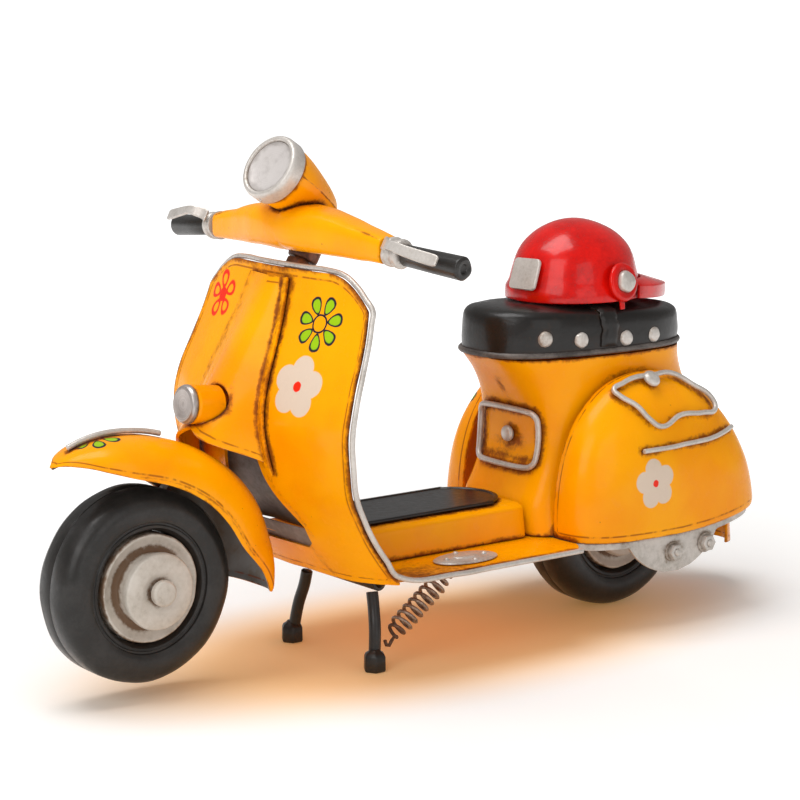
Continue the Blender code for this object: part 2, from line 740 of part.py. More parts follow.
# -------------------------------------------------------------- rear wheel and stand

def tyre_profile(count=10):
    """Closed section of the tyre, outer side running down."""
    middle = (WHEEL_RADIUS + RIM_RADIUS + GAP) / 2
    reach = (WHEEL_RADIUS - RIM_RADIUS - GAP) / 2
    points = []
    for step in range(count):
        angle = math.pi / 2 - 2 * math.pi * step / count
        r, h = superellipse(angle, reach, TYRE_HALF_WIDTH, 2.7)
        points.append((middle + r, h))
    return points


def make_wheel(name, axle, hub_face):
    """Tyre and rim turned about an axle; hub_face is where the left hub disc ends."""
    centre = mm(*axle)
    turned(f"{name}_tyre", tyre_profile(), centre, (0, 1, 0), TYRE, 28, ring=True)
    bore = AXLE_RADIUS + 0.3
    rim = [(bore, hub_face), (11.2, hub_face), (11.6, hub_face - 0.6), (11.6, hub_face - 2.6),
           (10.4, hub_face - 3.2), (12.4, 7.4), (14.6, 8.6), (RIM_RADIUS, 8.2),
           (RIM_RADIUS, -8.2), (14.2, -7.8), (11.0, -6.4), (6.0, -9.4), (bore, -9.4)]
    turned(f"{name}_rim", rim, centre, (0, 1, 0), CREAM, 22, ring=True)


def make_rear_axle():
    reach = CASING_FACE - CASING_WALL - GAP
    x, _, z = REAR_AXLE
    rod("rear_axle", (x, -reach, z), (x, reach, z), AXLE_RADIUS, SILVER)


def make_stand():
    x, _, z = STAND_PIVOT
    ear, rise = 22.6, FLOOR_TOP - SHEET - GAP
    wire("stand_pivot", [(x, -ear, rise), (x, -ear, z), (x, ear, z), (x, ear, rise)], 1.0, BLACK)
    sleeve = [(2.4, 20.6), (2.4, -20.6), (1.3, -20.6), (1.3, 20.6)]
    turned("stand_tube", sleeve, mm(x, 0, z), (0, 1, 0), BLACK, 16, ring=True)
    for side, sign in SIDES.items():
        foot_x, foot_y, _ = FOOT_POINT
        top = (x + 0.4, sign * 17.2, z - 3.4)
        leg = rod(f"stand_leg_{side}", top, (foot_x - 0.3, sign * (foot_y - 0.5), 4.5), 1.6, BLACK, 12)
        bm = bmesh.new()
        bmesh.ops.create_cone(bm, cap_ends=True, segments=6, radius1=3.7 * MM, radius2=3.4 * MM,
                              depth=5.8 * MM)
        foot = add_part(f"foot_block_{side}", mesh_from(bm, "foot_block"), BLACK)
        foot.location = mm(foot_x, sign * foot_y, 2.9)
        use_as_tool(leg, foot, "UNION")


SPRING_LOW = (28.6, 20.8, 8.6)
SPRING_HIGH = (0.5, 20.8, 29.6)


def make_stand_spring():
    turns, per_turn, radius = 10, 7, 2.6
    low, high = Vector(SPRING_LOW), Vector(SPRING_HIGH)
    axis = (high - low).normalized()
    side = Vector((0, 1, 0))
    over = axis.cross(side)
    coil_low, coil_high = low + axis * 3.0, high - axis * 5.0
    points = [tuple(low), tuple(low + axis * 1.6)]
    for step in range(turns * per_turn + 1):
        share = step / (turns * per_turn)
        angle = 2 * math.pi * step / per_turn
        centre = coil_low.lerp(coil_high, share)
        points.append(tuple(centre + (side * math.cos(angle) + over * math.sin(angle)) * radius))
    points += [tuple(high - axis * 3.4), tuple(high)]
    wire("stand_spring", points, 0.5, SPRING, resolution=0)


# -------------------------------------------------------------- steering group

def column_point(z):
    """Point of the steering axis at a height."""
    drop = (COLUMN_TOP[2] - z) / math.cos(RAKE)
    return Vector(COLUMN_TOP) + STEER_DOWN * drop


MUDGUARD_CROWN = [(-100, 43.5), (-80, 45.0), (-50, 44.6), (-20, 43.6), (0, 44.8), (14, 46.4),
                  (25, 47.6), (34, 48.2)]
MUDGUARD_EDGE = [(-100, 40.5), (-90, 36.5), (-75, 31.0), (-60, 29.5), (-30, 30.0), (-8, 32.5),
                 (10, 36.0), (22, 41.0), (30, 46.0), (34, 47.8)]
MUDGUARD_WIDTH = [(-100, 13.0), (-88, 14.6), (-60, 15.0), (0, 15.0), (12, 14.2), (22, 12.0),
                  (30, 8.2), (34, 4.6)]
MUDGUARD_NOSE, MUDGUARD_TAIL = 34.0, -99.0


def mudguard_point(turn, across, clear=0.0):
    """Point over the front wheel; turn in degrees forward of straight up."""
    crown = blend_table(turn, MUDGUARD_CROWN)
    edge = blend_table(turn, MUDGUARD_EDGE)
    width = blend_table(turn, MUDGUARD_WIDTH)
    angle = math.pi / 2 * across
    y = width * math.copysign(abs(math.sin(angle)) ** 0.85, across)
    radius = edge + (crown - edge) * abs(math.cos(angle)) ** 0.8 + clear
    sweep = math.radians(turn)
    return mm(FRONT_AXLE[0] + radius * math.sin(sweep), y, FRONT_AXLE[2] + radius * math.cos(sweep))


def make_front_mudguard():
    def shape(u, v):
        turn = MUDGUARD_TAIL + (v + 1) / 2 * (MUDGUARD_NOSE - MUDGUARD_TAIL)
        return mudguard_point(turn, u)

    formed_sheet("front_mudguard", shape, 12, 16, PAINT, offset=1.0)
    crest = []
    for turn in (27, 21, 14, 7, 0, -7, -13):
        point = mudguard_point(turn, 0, 1.25) / MM
        crest.append(tuple(point))
    wire("mudguard_crest", crest, 0.85, SILVER)


def make_steering_stem():
    top = column_point(131.0)
    low = column_point(73.2)
    rod("steering_stem", top, low, STEM_RADIUS, SILVER)
    tube_top, tube_low = column_point(125.6), column_point(86.0)
    length = (tube_top - tube_low).length
    sleeve = [(HEAD_TUBE_RADIUS, length), (HEAD_TUBE_RADIUS, 0), (STEM_RADIUS + 0.3, 0),
              (STEM_RADIUS + 0.3, length)]
    turned("head_tube", sleeve, tube_low * MM, tube_top - tube_low, PAINT, 18, ring=True)


def make_fork_arm():
    path = []
    for turn, radius, y in ((-37, 41.4, 0.0), (-37, 41.2, -4.0), (-37, 40.2, -7.6), (-37, 37.8, -10.6),
                            (-37, 34.0, -12.3), (-37, 20.0, -12.4), (-37, 6.0, -12.5), (0, 0.0, -12.6)):
        sweep = math.radians(turn)
        path.append((FRONT_AXLE[0] + radius * math.sin(sweep), y,
                     FRONT_AXLE[2] + radius * math.cos(sweep)))
    wire("fork_arm", path, 1.1, SILVER)
    spindle = [(0, 17.0), (3.4, 17.0), (3.9, 16.5), (3.9, 14.75), (AXLE_RADIUS, 14.75),
               (AXLE_RADIUS, -11.1), (0, -11.1)]
    turned("front_axle", spindle, mm(*FRONT_AXLE), (0, 1, 0), SILVER, 20)


# Rows of the headset: place along Y, centre along X and Z, half depth, half height
HEADSET = [(0.0, 46.2, 136.3, 9.2, 7.3), (7.0, 46.2, 136.3, 8.9, 7.1), (14.0, 46.0, 136.0, 7.9, 6.7),
           (22.0, 45.7, 135.4, 6.5, 6.1), (32.0, 45.2, 134.3, 5.0, 5.0), (43.6, 44.6, 133.0, 3.9, 3.9)]


def make_headset():
    """Handlebar casting: a fat middle that tapers to both bar ends."""
    rows = [(-row[0], *row[1:]) for row in reversed(HEADSET[1:])] + HEADSET
    rings = []
    for y, x, z, depth, height in rows:
        ring = [mm(x + depth * math.cos(a), y, z + height * math.sin(a))
                for a in (2 * math.pi * i / 18 for i in range(18))]
        rings.append(ring)
    casting = loft("headset", rings, PAINT)
    bore = rod("stem_bore", column_point(110.0), column_point(131.6), STEM_RADIUS + GAP, PAINT)
    use_as_tool(casting, bore, "DIFFERENCE")
    use_as_tool(casting, make_lamp_shell("lamp_saddle", GAP), "DIFFERENCE")


LAMP_CENTRE = (56.0, 0.0, 154.7)
LAMP_TILT, LAMP_TURN = math.radians(31.0), math.radians(8.0)
LAMP_AHEAD = Vector((math.cos(LAMP_TILT) * math.cos(LAMP_TURN),
                     math.cos(LAMP_TILT) * math.sin(LAMP_TURN), math.sin(LAMP_TILT)))


def make_lamp_shell(name, grow=0.0):
    """Teardrop lamp body, or a larger copy that cuts its saddle."""
    shell = [(0, -1.6), (9.0, -1.6), (9.6, -2.4), (9.6, -7), (8.8, -13), (7.2, -19), (4.9, -25), (0, -29.5)]
    grown = [(radius + grow if radius else 0, height - grow) for radius, height in shell]
    return turned(name, grown, mm(*LAMP_CENTRE), LAMP_AHEAD, PAINT, 22)


def make_headlight():
    centre = mm(*LAMP_CENTRE)
    make_lamp_shell("headlight_shell")
    bezel = [(8.5, 1.2), (9.4, 1.4), (10.3, 0.6), (10.4, -1.2), (8.8, -1.2), (8.5, 0.0)]
    turned("headlight_bezel", bezel, centre, LAMP_AHEAD, SILVER, 28, ring=True)
    lens = [(0, 0.6), (5.6, 0.3), (8.1, -0.2), (8.1, -1.2), (0, -1.2)]
    turned("headlight_lens", lens, centre, LAMP_AHEAD, LENS, 24)


def make_handlebar_ends():
    for side, sign in SIDES.items():
        start = Vector((BAR_END[0], sign * BAR_END[1], BAR_END[2]))
        end = Vector((GRIP_END[0], sign * GRIP_END[1], GRIP_END[2]))
        line = (end - start).normalized()
        collar = [(0, 6.4), (3.5, 6.4), (4.4, 5.6), (4.4, 4.4), (3.6, 3.6), (3.6, 2.6), (4.5, 1.8),
                  (4.5, 0.9), (0, 0.9)]
        turned(f"bar_collar_{side}", collar, start * MM, line, SILVER, 18)
        grip_start = start + line * 6.8
        length = (end - grip_start).length
        grip = [(0, length), (2.9, length), (3.5, length - 0.8), (3.3, length * 0.5), (3.1, 0), (0, 0)]
        turned(f"grip_{side}", grip, grip_start * MM, line, BLACK, 16)
        lever = [(47.8, 47.6, 136.6), (50.2, 51.5, 138.0), (50.0, 57.0, 137.2), (48.6, 63.0, 135.8),
                 (46.6, 70.0, 134.6)]
        wire(f"lever_{side}", [(x, sign * y, z) for x, y, z in lever], 0.9, SILVER)


# ---------------------------------------------------------------------- build

make_leg_shield()
make_horn_apron()
make_horn()
make_column_cover()
make_shield_trim()
make_floorboard()
make_tunnel()
make_tunnel_mat()
make_foot_plates()
make_body_shell()
make_glovebox()
make_side_cowls()
make_engine_casings()
make_cowl_brightwork()
make_tail_flap()
make_seat()
make_seat_strap()
make_helmet()
make_helmet_fittings()
make_wheel("rear", REAR_AXLE, 12.0)
make_rear_axle()
make_stand()
make_stand_spring()
make_steering_stem()
make_front_mudguard()
make_fork_arm()
make_wheel("front", FRONT_AXLE, 14.2)
make_headset()
make_headlight()
make_handlebar_ends()
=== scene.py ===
"""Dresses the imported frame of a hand-made tin scooter with its finished pieces.

The frame gives the bodies, the joints and one plain solid for each piece.  Each
class here builds the finished form of one sub-assembly over those solids, gives
every piece its finish and rides it on its body.  Sizes are in millimetres on the
drawing board and become metres only in `mm`.  +X is forward, +Y is the rider's
left and +Z is up.
"""

import json
import logging
import math
from dataclasses import dataclass
from enum import Enum
from typing import Callable, Iterable, Sequence

import bpy
from mathutils import Matrix, Vector, noise
from mathutils.bvhtree import BVHTree

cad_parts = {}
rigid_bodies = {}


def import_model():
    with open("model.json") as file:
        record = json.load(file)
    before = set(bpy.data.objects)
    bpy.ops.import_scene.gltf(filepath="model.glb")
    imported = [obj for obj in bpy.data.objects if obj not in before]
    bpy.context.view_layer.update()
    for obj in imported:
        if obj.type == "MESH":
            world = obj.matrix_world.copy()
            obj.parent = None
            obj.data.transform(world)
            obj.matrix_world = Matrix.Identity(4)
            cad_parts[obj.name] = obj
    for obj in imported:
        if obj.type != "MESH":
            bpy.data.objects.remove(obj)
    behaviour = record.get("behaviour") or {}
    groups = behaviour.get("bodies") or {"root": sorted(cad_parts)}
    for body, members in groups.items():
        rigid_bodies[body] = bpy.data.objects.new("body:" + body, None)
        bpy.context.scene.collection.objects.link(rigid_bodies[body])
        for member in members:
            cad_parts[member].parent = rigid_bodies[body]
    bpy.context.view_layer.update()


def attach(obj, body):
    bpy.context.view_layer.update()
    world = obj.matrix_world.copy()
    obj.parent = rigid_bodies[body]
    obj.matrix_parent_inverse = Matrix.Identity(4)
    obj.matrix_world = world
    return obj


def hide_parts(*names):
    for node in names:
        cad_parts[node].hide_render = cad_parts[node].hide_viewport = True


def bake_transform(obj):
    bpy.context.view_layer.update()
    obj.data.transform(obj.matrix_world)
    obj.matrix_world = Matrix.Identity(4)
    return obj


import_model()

LOG = logging.getLogger("scooter")
MM = 0.001
SIDES = {"left": 1, "right": -1}

Point = tuple[float, float, float]
Table = Sequence[tuple[float, float]]
Sheet = Callable[[float, float], Vector]
Piece = bpy.types.Object


class Body(Enum):
    """The frame's moving bodies."""

    CHASSIS = "chassis"
    STEERING = "steering"
    FRONT_WHEEL = "front_wheel"
    REAR_WHEEL = "rear_wheel"
    STAND = "stand"


# --- drawing

def mm(x: float, y: float, z: float) -> Vector:
    """Point given in millimetres, in metres."""
    return Vector((x, y, z)) * MM


def read_table(value: float, table: Table) -> float:
    """Smooth curve through a table's points.

    Args:
        value: Where the curve is read.
        table: Pairs of place and value, places rising.

    Returns:
        The value there, held level past the table's ends.
    """
    last = len(table) - 1
    if value <= table[0][0]:
        return table[0][1]
    if value >= table[last][0]:
        return table[last][1]
    index = next(i for i in range(last) if value <= table[i + 1][0])

    def slope(i: int) -> float:
        low, high = max(i - 1, 0), min(i + 1, last)
        return (table[high][1] - table[low][1]) / (table[high][0] - table[low][0])

    (start, first), (end, second) = table[index], table[index + 1]
    span = end - start
    t = (value - start) / span
    return (first * (2 * t**3 - 3 * t**2 + 1) + second * (3 * t**2 - 2 * t**3)
            + span * (slope(index) * (t**3 - 2 * t**2 + t) + slope(index + 1) * (t**3 - t**2)))


def ease(value: float) -> float:
    """Value from 0 to 1 with a soft start and end."""
    value = max(0.0, min(1.0, value))
    return value * value * (3 - 2 * value)


def superellipse(angle: float, semi_x: float, semi_y: float, power: float) -> tuple[float, float]:
    """Point of a superellipse at an angle."""
    c, s = math.cos(angle), math.sin(angle)
    return (semi_x * math.copysign(abs(c) ** (2 / power), c),
            semi_y * math.copysign(abs(s) ** (2 / power), s))


def rounded_rectangle(half_width: float, half_height: float, radius: float,
                      per_corner: int = 6) -> list[tuple[float, float]]:
    """Outline of a rectangle with round corners, counter-clockwise from the right."""
    points = []
    corners = ((1, 1, 0), (-1, 1, 90), (-1, -1, 180), (1, -1, 270))
    for side_x, side_y, start in corners:
        for step in range(per_corner):
            turn = math.radians(start + 90 * step / (per_corner - 1))
            points.append((side_x * (half_width - radius) + radius * math.cos(turn),
                           side_y * (half_height - radius) + radius * math.sin(turn)))
    return points


def facing(origin: Vector, direction: Vector) -> Matrix:
    """Matrix that takes +Z to a direction and the origin to a point."""
    turn = direction.to_track_quat("Z", "Y").to_matrix().to_4x4()
    return Matrix.Translation(origin) @ turn


# --- workbench

class Bench:
    """Modelling moves that act on one new piece at a time."""

    @staticmethod
    def clear() -> None:
        """Deselect everything."""
        for thing in bpy.context.view_layer.objects:
            thing.select_set(False)

    @classmethod
    def pick(cls, piece: Piece) -> None:
        """Make one piece the only selected and active object."""
        cls.clear()
        piece.select_set(True)
        bpy.context.view_layer.objects.active = piece

    @staticmethod
    def named(name: str) -> Piece:
        """The piece just added, under its name."""
        piece = bpy.context.object
        piece.name = name
        piece.data.name = name
        return piece

    @staticmethod
    def edit(action: Callable[[], None]) -> None:
        """Run some operators in edit mode on everything in the active piece."""
        bpy.ops.object.mode_set(mode="EDIT")
        bpy.ops.mesh.select_all(action="SELECT")
        action()
        bpy.ops.object.mode_set(mode="OBJECT")

    @staticmethod
    def apply(piece: Piece, kind: str, **settings: object) -> None:
        """Add a modifier, set it up and apply it."""
        modifier = piece.modifiers.new(kind.lower(), kind)
        for name, value in settings.items():
            setattr(modifier, name, value)
        bpy.context.view_layer.objects.active = piece
        bpy.ops.object.modifier_apply(modifier=modifier.name)

    @classmethod
    def weld(cls, piece: Piece, distance: float = 0.00002) -> None:
        """Merge doubled points and turn the faces outwards."""
        cls.pick(piece)

        def tidy() -> None:
            bpy.ops.mesh.remove_doubles(threshold=distance)
            bpy.ops.mesh.normals_make_consistent(inside=False)

        cls.edit(tidy)

    @classmethod
    def place(cls, piece: Piece, matrix: Matrix) -> Piece:
        """Move a piece's mesh and leave its object at the origin."""
        piece.data.transform(matrix)
        if matrix.determinant() < 0:
            cls.pick(piece)
            cls.edit(bpy.ops.mesh.flip_normals)
        return piece

    @staticmethod
    def mark(piece: Piece, name: str, values: Sequence[float]) -> None:
        """Store one number for each of a mesh's points."""
        layer = piece.data.attributes.get(name)
        if layer is None:
            layer = piece.data.attributes.new(name, "FLOAT", "POINT")
        layer.data.foreach_set("value", values)

    @staticmethod
    def read(piece: Piece, name: str) -> list[float]:
        """The numbers stored for each of a mesh's points, or zeros."""
        layer = piece.data.attributes.get(name)
        values = [0.0] * len(piece.data.vertices)
        if layer is not None:
            layer.data.foreach_get("value", values)
        return values

    @classmethod
    def grid(cls, name: str, shape: Sheet, columns: int, rows: int) -> Piece:
        """Flat grid pressed over a surface.

        Args:
            name: The piece's name.
            shape: Surface point for u and v, each from -1 to 1.
            columns: Faces along u.
            rows: Faces along v.

        Returns:
            The pressed sheet, with each point's distance to its rim stored as "rim".
        """
        cls.clear()
        bpy.ops.mesh.primitive_grid_add(x_subdivisions=columns, y_subdivisions=rows, size=2)
        piece = cls.named(name)
        flat = [(point.co.x, point.co.y) for point in piece.data.vertices]
        for point, (u, v) in zip(piece.data.vertices, flat):
            point.co = shape(u, v)
        cls.mark(piece, "rim", cls.rim_distances(piece, flat))
        return piece

    @staticmethod
    def rim_distances(piece: Piece, flat: list[tuple[float, float]]) -> list[float]:
        """Distance along the sheet, in millimetres, from each point to the nearest edge."""
        lines: dict[tuple[str, float], list[int]] = {}
        for index, (u, v) in enumerate(flat):
            lines.setdefault(("row", round(v, 4)), []).append(index)
            lines.setdefault(("column", round(u, 4)), []).append(index)
        nearest = [1000.0] * len(flat)
        for (kind, _), members in lines.items():
            members.sort(key=lambda i: flat[i][0 if kind == "row" else 1])
            walked = [0.0]
            for here, there in zip(members, members[1:]):
                step = (piece.data.vertices[here].co - piece.data.vertices[there].co).length
                walked.append(walked[-1] + step / MM)
            for index, distance in zip(members, walked):
                nearest[index] = min(nearest[index], distance, walked[-1] - distance)
        return nearest

    @staticmethod
    def push(piece: Piece, depths: Sequence[float]) -> None:
        """Push each point out along its normal by its own depth, in millimetres."""
        piece.data.update()
        moves = [point.normal * (depth * MM) for point, depth in zip(piece.data.vertices, depths)]
        for point, move in zip(piece.data.vertices, moves):
            point.co += move

    @classmethod
    def hammer(cls, piece: Piece, depth: float, reach: float, seed: float = 0.0) -> None:
        """Push a sheet's points in and out a little, as hand-beaten tin is.

        Args:
            piece: The sheet.
            depth: Largest push, in millimetres.
            reach: Size of a dent, in millimetres.
            seed: Shift of the pattern.
        """
        shift = Vector((seed, seed * 0.7, seed * 1.3))
        cls.push(piece, [noise.noise(point.co / (reach * MM) + shift) * depth
                         for point in piece.data.vertices])

    @classmethod
    def roll_rim(cls, piece: Piece, height: float, width: float,
                 keep: Callable[[Vector], float] = lambda spot: 1.0) -> None:
        """Raise a round bead along a sheet's edge.

        Args:
            piece: The sheet, before it has a thickness.
            height: How far the bead stands out along the normals, in millimetres.
            width: How far the bead reaches in from the edge, in millimetres.
            keep: Share of the bead kept at a place.
        """
        cls.push(piece, [height * ease(1 - rim / width) * keep(point.co / MM)
                         for point, rim in zip(piece.data.vertices, cls.read(piece, "rim"))])

    @classmethod
    def thicken(cls, piece: Piece, thickness: float, offset: float) -> None:
        """Give a sheet its wall and mark which face is its outer one.

        Args:
            piece: The sheet.
            thickness: Wall in millimetres.
            offset: 1 grows along the normals, -1 against them.
        """
        cls.pick(piece)
        count = len(piece.data.vertices)
        cls.apply(piece, "SOLIDIFY", thickness=thickness * MM, offset=offset,
                  use_even_offset=True, use_quality_normals=True)
        outer = [1.0] * count + [0.0] * (len(piece.data.vertices) - count)
        if offset > 0:
            outer = [1.0 - value for value in outer]
        cls.mark(piece, "outer", outer)

    @classmethod
    def sheet(cls, name: str, shape: Sheet, columns: int, rows: int, thickness: float = 1.0,
              offset: float = -1.0, dents: float = 0.14, bead: float = 0.0,
              keep: Callable[[Vector], float] = lambda spot: 1.0) -> Piece:
        """Pressed sheet with a wall, a rolled bead and softened edges."""
        piece = cls.grid(name, shape, columns, rows)
        if dents:
            cls.hammer(piece, dents, 11.0, len(name) * 1.7)
        if bead:
            cls.roll_rim(piece, bead, 1.7, keep)
        cls.thicken(piece, thickness, offset)
        cls.apply(piece, "BEVEL", width=0.28 * MM, segments=2, limit_method="ANGLE",
                  angle_limit=math.radians(50))
        return piece

    @classmethod
    def turned(cls, name: str, profile: Sequence[tuple[float, float]], centre: Vector,
               axis: Vector, steps: int = 64, soften: float = 0.2, closed: bool = False) -> Piece:
        """Profile extruded point by point and spun about its axis.

        Args:
            name: The piece's name.
            profile: Pairs of radius and height, in millimetres.
            centre: Where height 0 lies, in metres.
            axis: The way the heights run.
            steps: Faces round the piece.
            soften: Width of the bevel on its corners, in millimetres.
            closed: Whether the profile is a ring clear of the axis.

        Returns:
            The turned piece.
        """
        cls.clear()
        bpy.ops.mesh.primitive_plane_add(size=MM)
        piece = cls.named(name)

        def draw() -> None:
            bpy.ops.mesh.merge(type="CENTER")
            radius, height = profile[0]
            bpy.ops.transform.translate(value=mm(radius, 0, height))
            trail = list(profile[1:]) + ([profile[0]] if closed else [])
            for next_radius, next_height in trail:
                step = mm(next_radius - radius, 0, next_height - height)
                bpy.ops.mesh.extrude_region_move(TRANSFORM_OT_translate={"value": step})
                radius, height = next_radius, next_height
            bpy.ops.mesh.select_all(action="SELECT")
            bpy.ops.mesh.spin(steps=steps, angle=math.tau, center=(0, 0, 0), axis=(0, 0, 1))
            bpy.ops.mesh.select_all(action="SELECT")
            bpy.ops.mesh.remove_doubles(threshold=0.000005)
            bpy.ops.mesh.normals_make_consistent(inside=False)

        cls.edit(draw)
        if soften:
            cls.apply(piece, "BEVEL", width=soften * MM, segments=2, limit_method="ANGLE",
                      angle_limit=math.radians(32))
        return cls.place(piece, facing(centre, axis))

    @classmethod
    def wire(cls, name: str, points: Iterable[Sequence[float]], radius: float,
             closed: bool = False, steps: int = 8) -> Piece:
        """Round wire bent through points given in millimetres."""
        path = [Vector(point) * MM for point in points]
        cls.clear()
        bpy.ops.curve.primitive_bezier_curve_add()
        curve = bpy.context.object
        curve.name = name
        line = curve.data
        spline = line.splines[0]
        spline.bezier_points.add(len(path) - 2)
        for knot, spot in zip(spline.bezier_points, path):
            knot.co = spot
            knot.handle_left_type = "AUTO"
            knot.handle_right_type = "AUTO"
        spline.use_cyclic_u = closed
        spline.resolution_u = steps
        line.bevel_depth = radius * MM
        line.bevel_resolution = 4
        line.use_fill_caps = not closed
        bpy.ops.object.convert(target="MESH")
        piece = bpy.context.object
        piece.data.name = name
        cls.weld(piece, 0.000005)
        if not closed:
            cls.apply(piece, "BEVEL", width=radius * 0.45 * MM, segments=3, limit_method="ANGLE",
                      angle_limit=math.radians(50))
        return piece

    @classmethod
    def rod(cls, name: str, start: Vector, end: Vector, radius: float,
            soften: float = 0.2) -> Piece:
        """Round bar between two points, with broken edges."""
        length = (end - start).length / MM
        profile = [(0, 0), (radius, 0), (radius, length), (0, length)]
        return cls.turned(name, profile, start, end - start, 32, soften)

    @classmethod
    def slab(cls, name: str, outline: Sequence[tuple[float, float]], thickness: float,
             matrix: Matrix, soften: float = 0.2) -> Piece:
        """Flat outline filled, extruded upwards and softened.

        Args:
            name: The piece's name.
            outline: Points in millimetres, counter-clockwise.
            thickness: Height of the slab, its middle on the outline's plane.
            matrix: Where the outline's plane goes.
            soften: Bevel of its rims, in millimetres.

        Returns:
            The slab.
        """
        cls.clear()
        bpy.ops.mesh.primitive_circle_add(vertices=len(outline), radius=MM, fill_type="NGON")
        piece = cls.named(name)
        for point, (x, y) in zip(piece.data.vertices, outline):
            point.co = mm(x, y, -thickness / 2)

        def raise_up() -> None:
            lift = {"value": (0, 0, thickness * MM)}
            bpy.ops.mesh.extrude_region_move(TRANSFORM_OT_translate=lift)
            bpy.ops.mesh.select_all(action="SELECT")
            bpy.ops.mesh.normals_make_consistent(inside=False)

        cls.edit(raise_up)
        if soften:
            cls.apply(piece, "BEVEL", width=soften * MM, segments=3, limit_method="ANGLE",
                      angle_limit=math.radians(40))
        return cls.place(piece, matrix)

    @classmethod
    def loft(cls, name: str, shape: Sheet, around: int, along: int, capped: bool = True) -> Piece:
        """Grid wrapped into a tube: u runs round it and v along it."""
        piece = cls.grid(name, shape, around, along)
        cls.weld(piece, 0.00001)
        if capped:
            cls.pick(piece)

            def close() -> None:
                bpy.ops.mesh.fill_holes(sides=0)
                bpy.ops.mesh.normals_make_consistent(inside=False)

            cls.edit(close)
        return piece

    @classmethod
    def join(cls, name: str, pieces: Sequence[Piece]) -> Piece:
        """Several meshes as one piece."""
        cls.clear()
        for piece in pieces:
            piece.select_set(True)
        bpy.context.view_layer.objects.active = pieces[0]
        if len(pieces) > 1:
            bpy.ops.object.join()
        joined = bpy.context.view_layer.objects.active
        joined.name = name
        joined.data.name = name
        return joined

    @classmethod
    def cut(cls, piece: Piece, tool: Piece) -> None:
        """Cut a hole with another mesh and throw the tool away."""
        cls.apply(piece, "BOOLEAN", object=tool, operation="DIFFERENCE", solver="EXACT")
        bpy.data.objects.remove(tool, do_unlink=True)

    @classmethod
    def copy(cls, piece: Piece, name: str, matrix: Matrix) -> Piece:
        """Copy with its own mesh, moved by a matrix."""
        twin = bpy.data.objects.new(name, piece.data.copy())
        twin.data.name = name
        bpy.context.scene.collection.objects.link(twin)
        return cls.place(twin, matrix)


MIRROR_Y = Matrix.Scale(-1, 4, Vector((0, 1, 0)))


# --- finishes

Colour = tuple[float, float, float]
Input = "float | Point | Colour | Value"


class Value:
    """A shader socket that can stand in a Python expression."""

    def __init__(self, graph: "Graph", socket: bpy.types.NodeSocket) -> None:
        """Wrap one output socket of a graph."""
        self.graph = graph
        self.socket = socket

    def _math(self, operation: str, *terms: Input) -> "Value":
        """Math node over this value and others."""
        return self.graph.node("ShaderNodeMath", {"operation": operation}, dict(enumerate(terms)))

    def __add__(self, other: Input) -> "Value":
        """Sum."""
        return self._math("ADD", self, other)

    __radd__ = __add__

    def __sub__(self, other: Input) -> "Value":
        """Difference."""
        return self._math("SUBTRACT", self, other)

    def __rsub__(self, other: Input) -> "Value":
        """Difference the other way round."""
        return self._math("SUBTRACT", other, self)

    def __mul__(self, other: Input) -> "Value":
        """Product."""
        return self._math("MULTIPLY", self, other)

    __rmul__ = __mul__

    def __truediv__(self, other: Input) -> "Value":
        """Quotient."""
        return self._math("DIVIDE", self, other)

    def run(self, operation: str, *terms: Input) -> "Value":
        """Any other Math operation with this value first."""
        return self._math(operation, self, *terms)

    def ramp(self, low: float, high: float) -> "Value":
        """Soft step from 0 at low to 1 at high, either way round."""
        sockets = {"Value": self, "From Min": low, "From Max": high}
        return self.graph.node("ShaderNodeMapRange", {"interpolation_type": "SMOOTHSTEP"}, sockets)

    def both(self, other: Input) -> "Value":
        """The larger of two masks."""
        return self._math("MAXIMUM", self, other)

    def dot(self, direction: Point) -> "Value":
        """Share of a vector along a direction."""
        return self.graph.node("ShaderNodeVectorMath", {"operation": "DOT_PRODUCT"},
                               {0: self, 1: direction}, "Value")


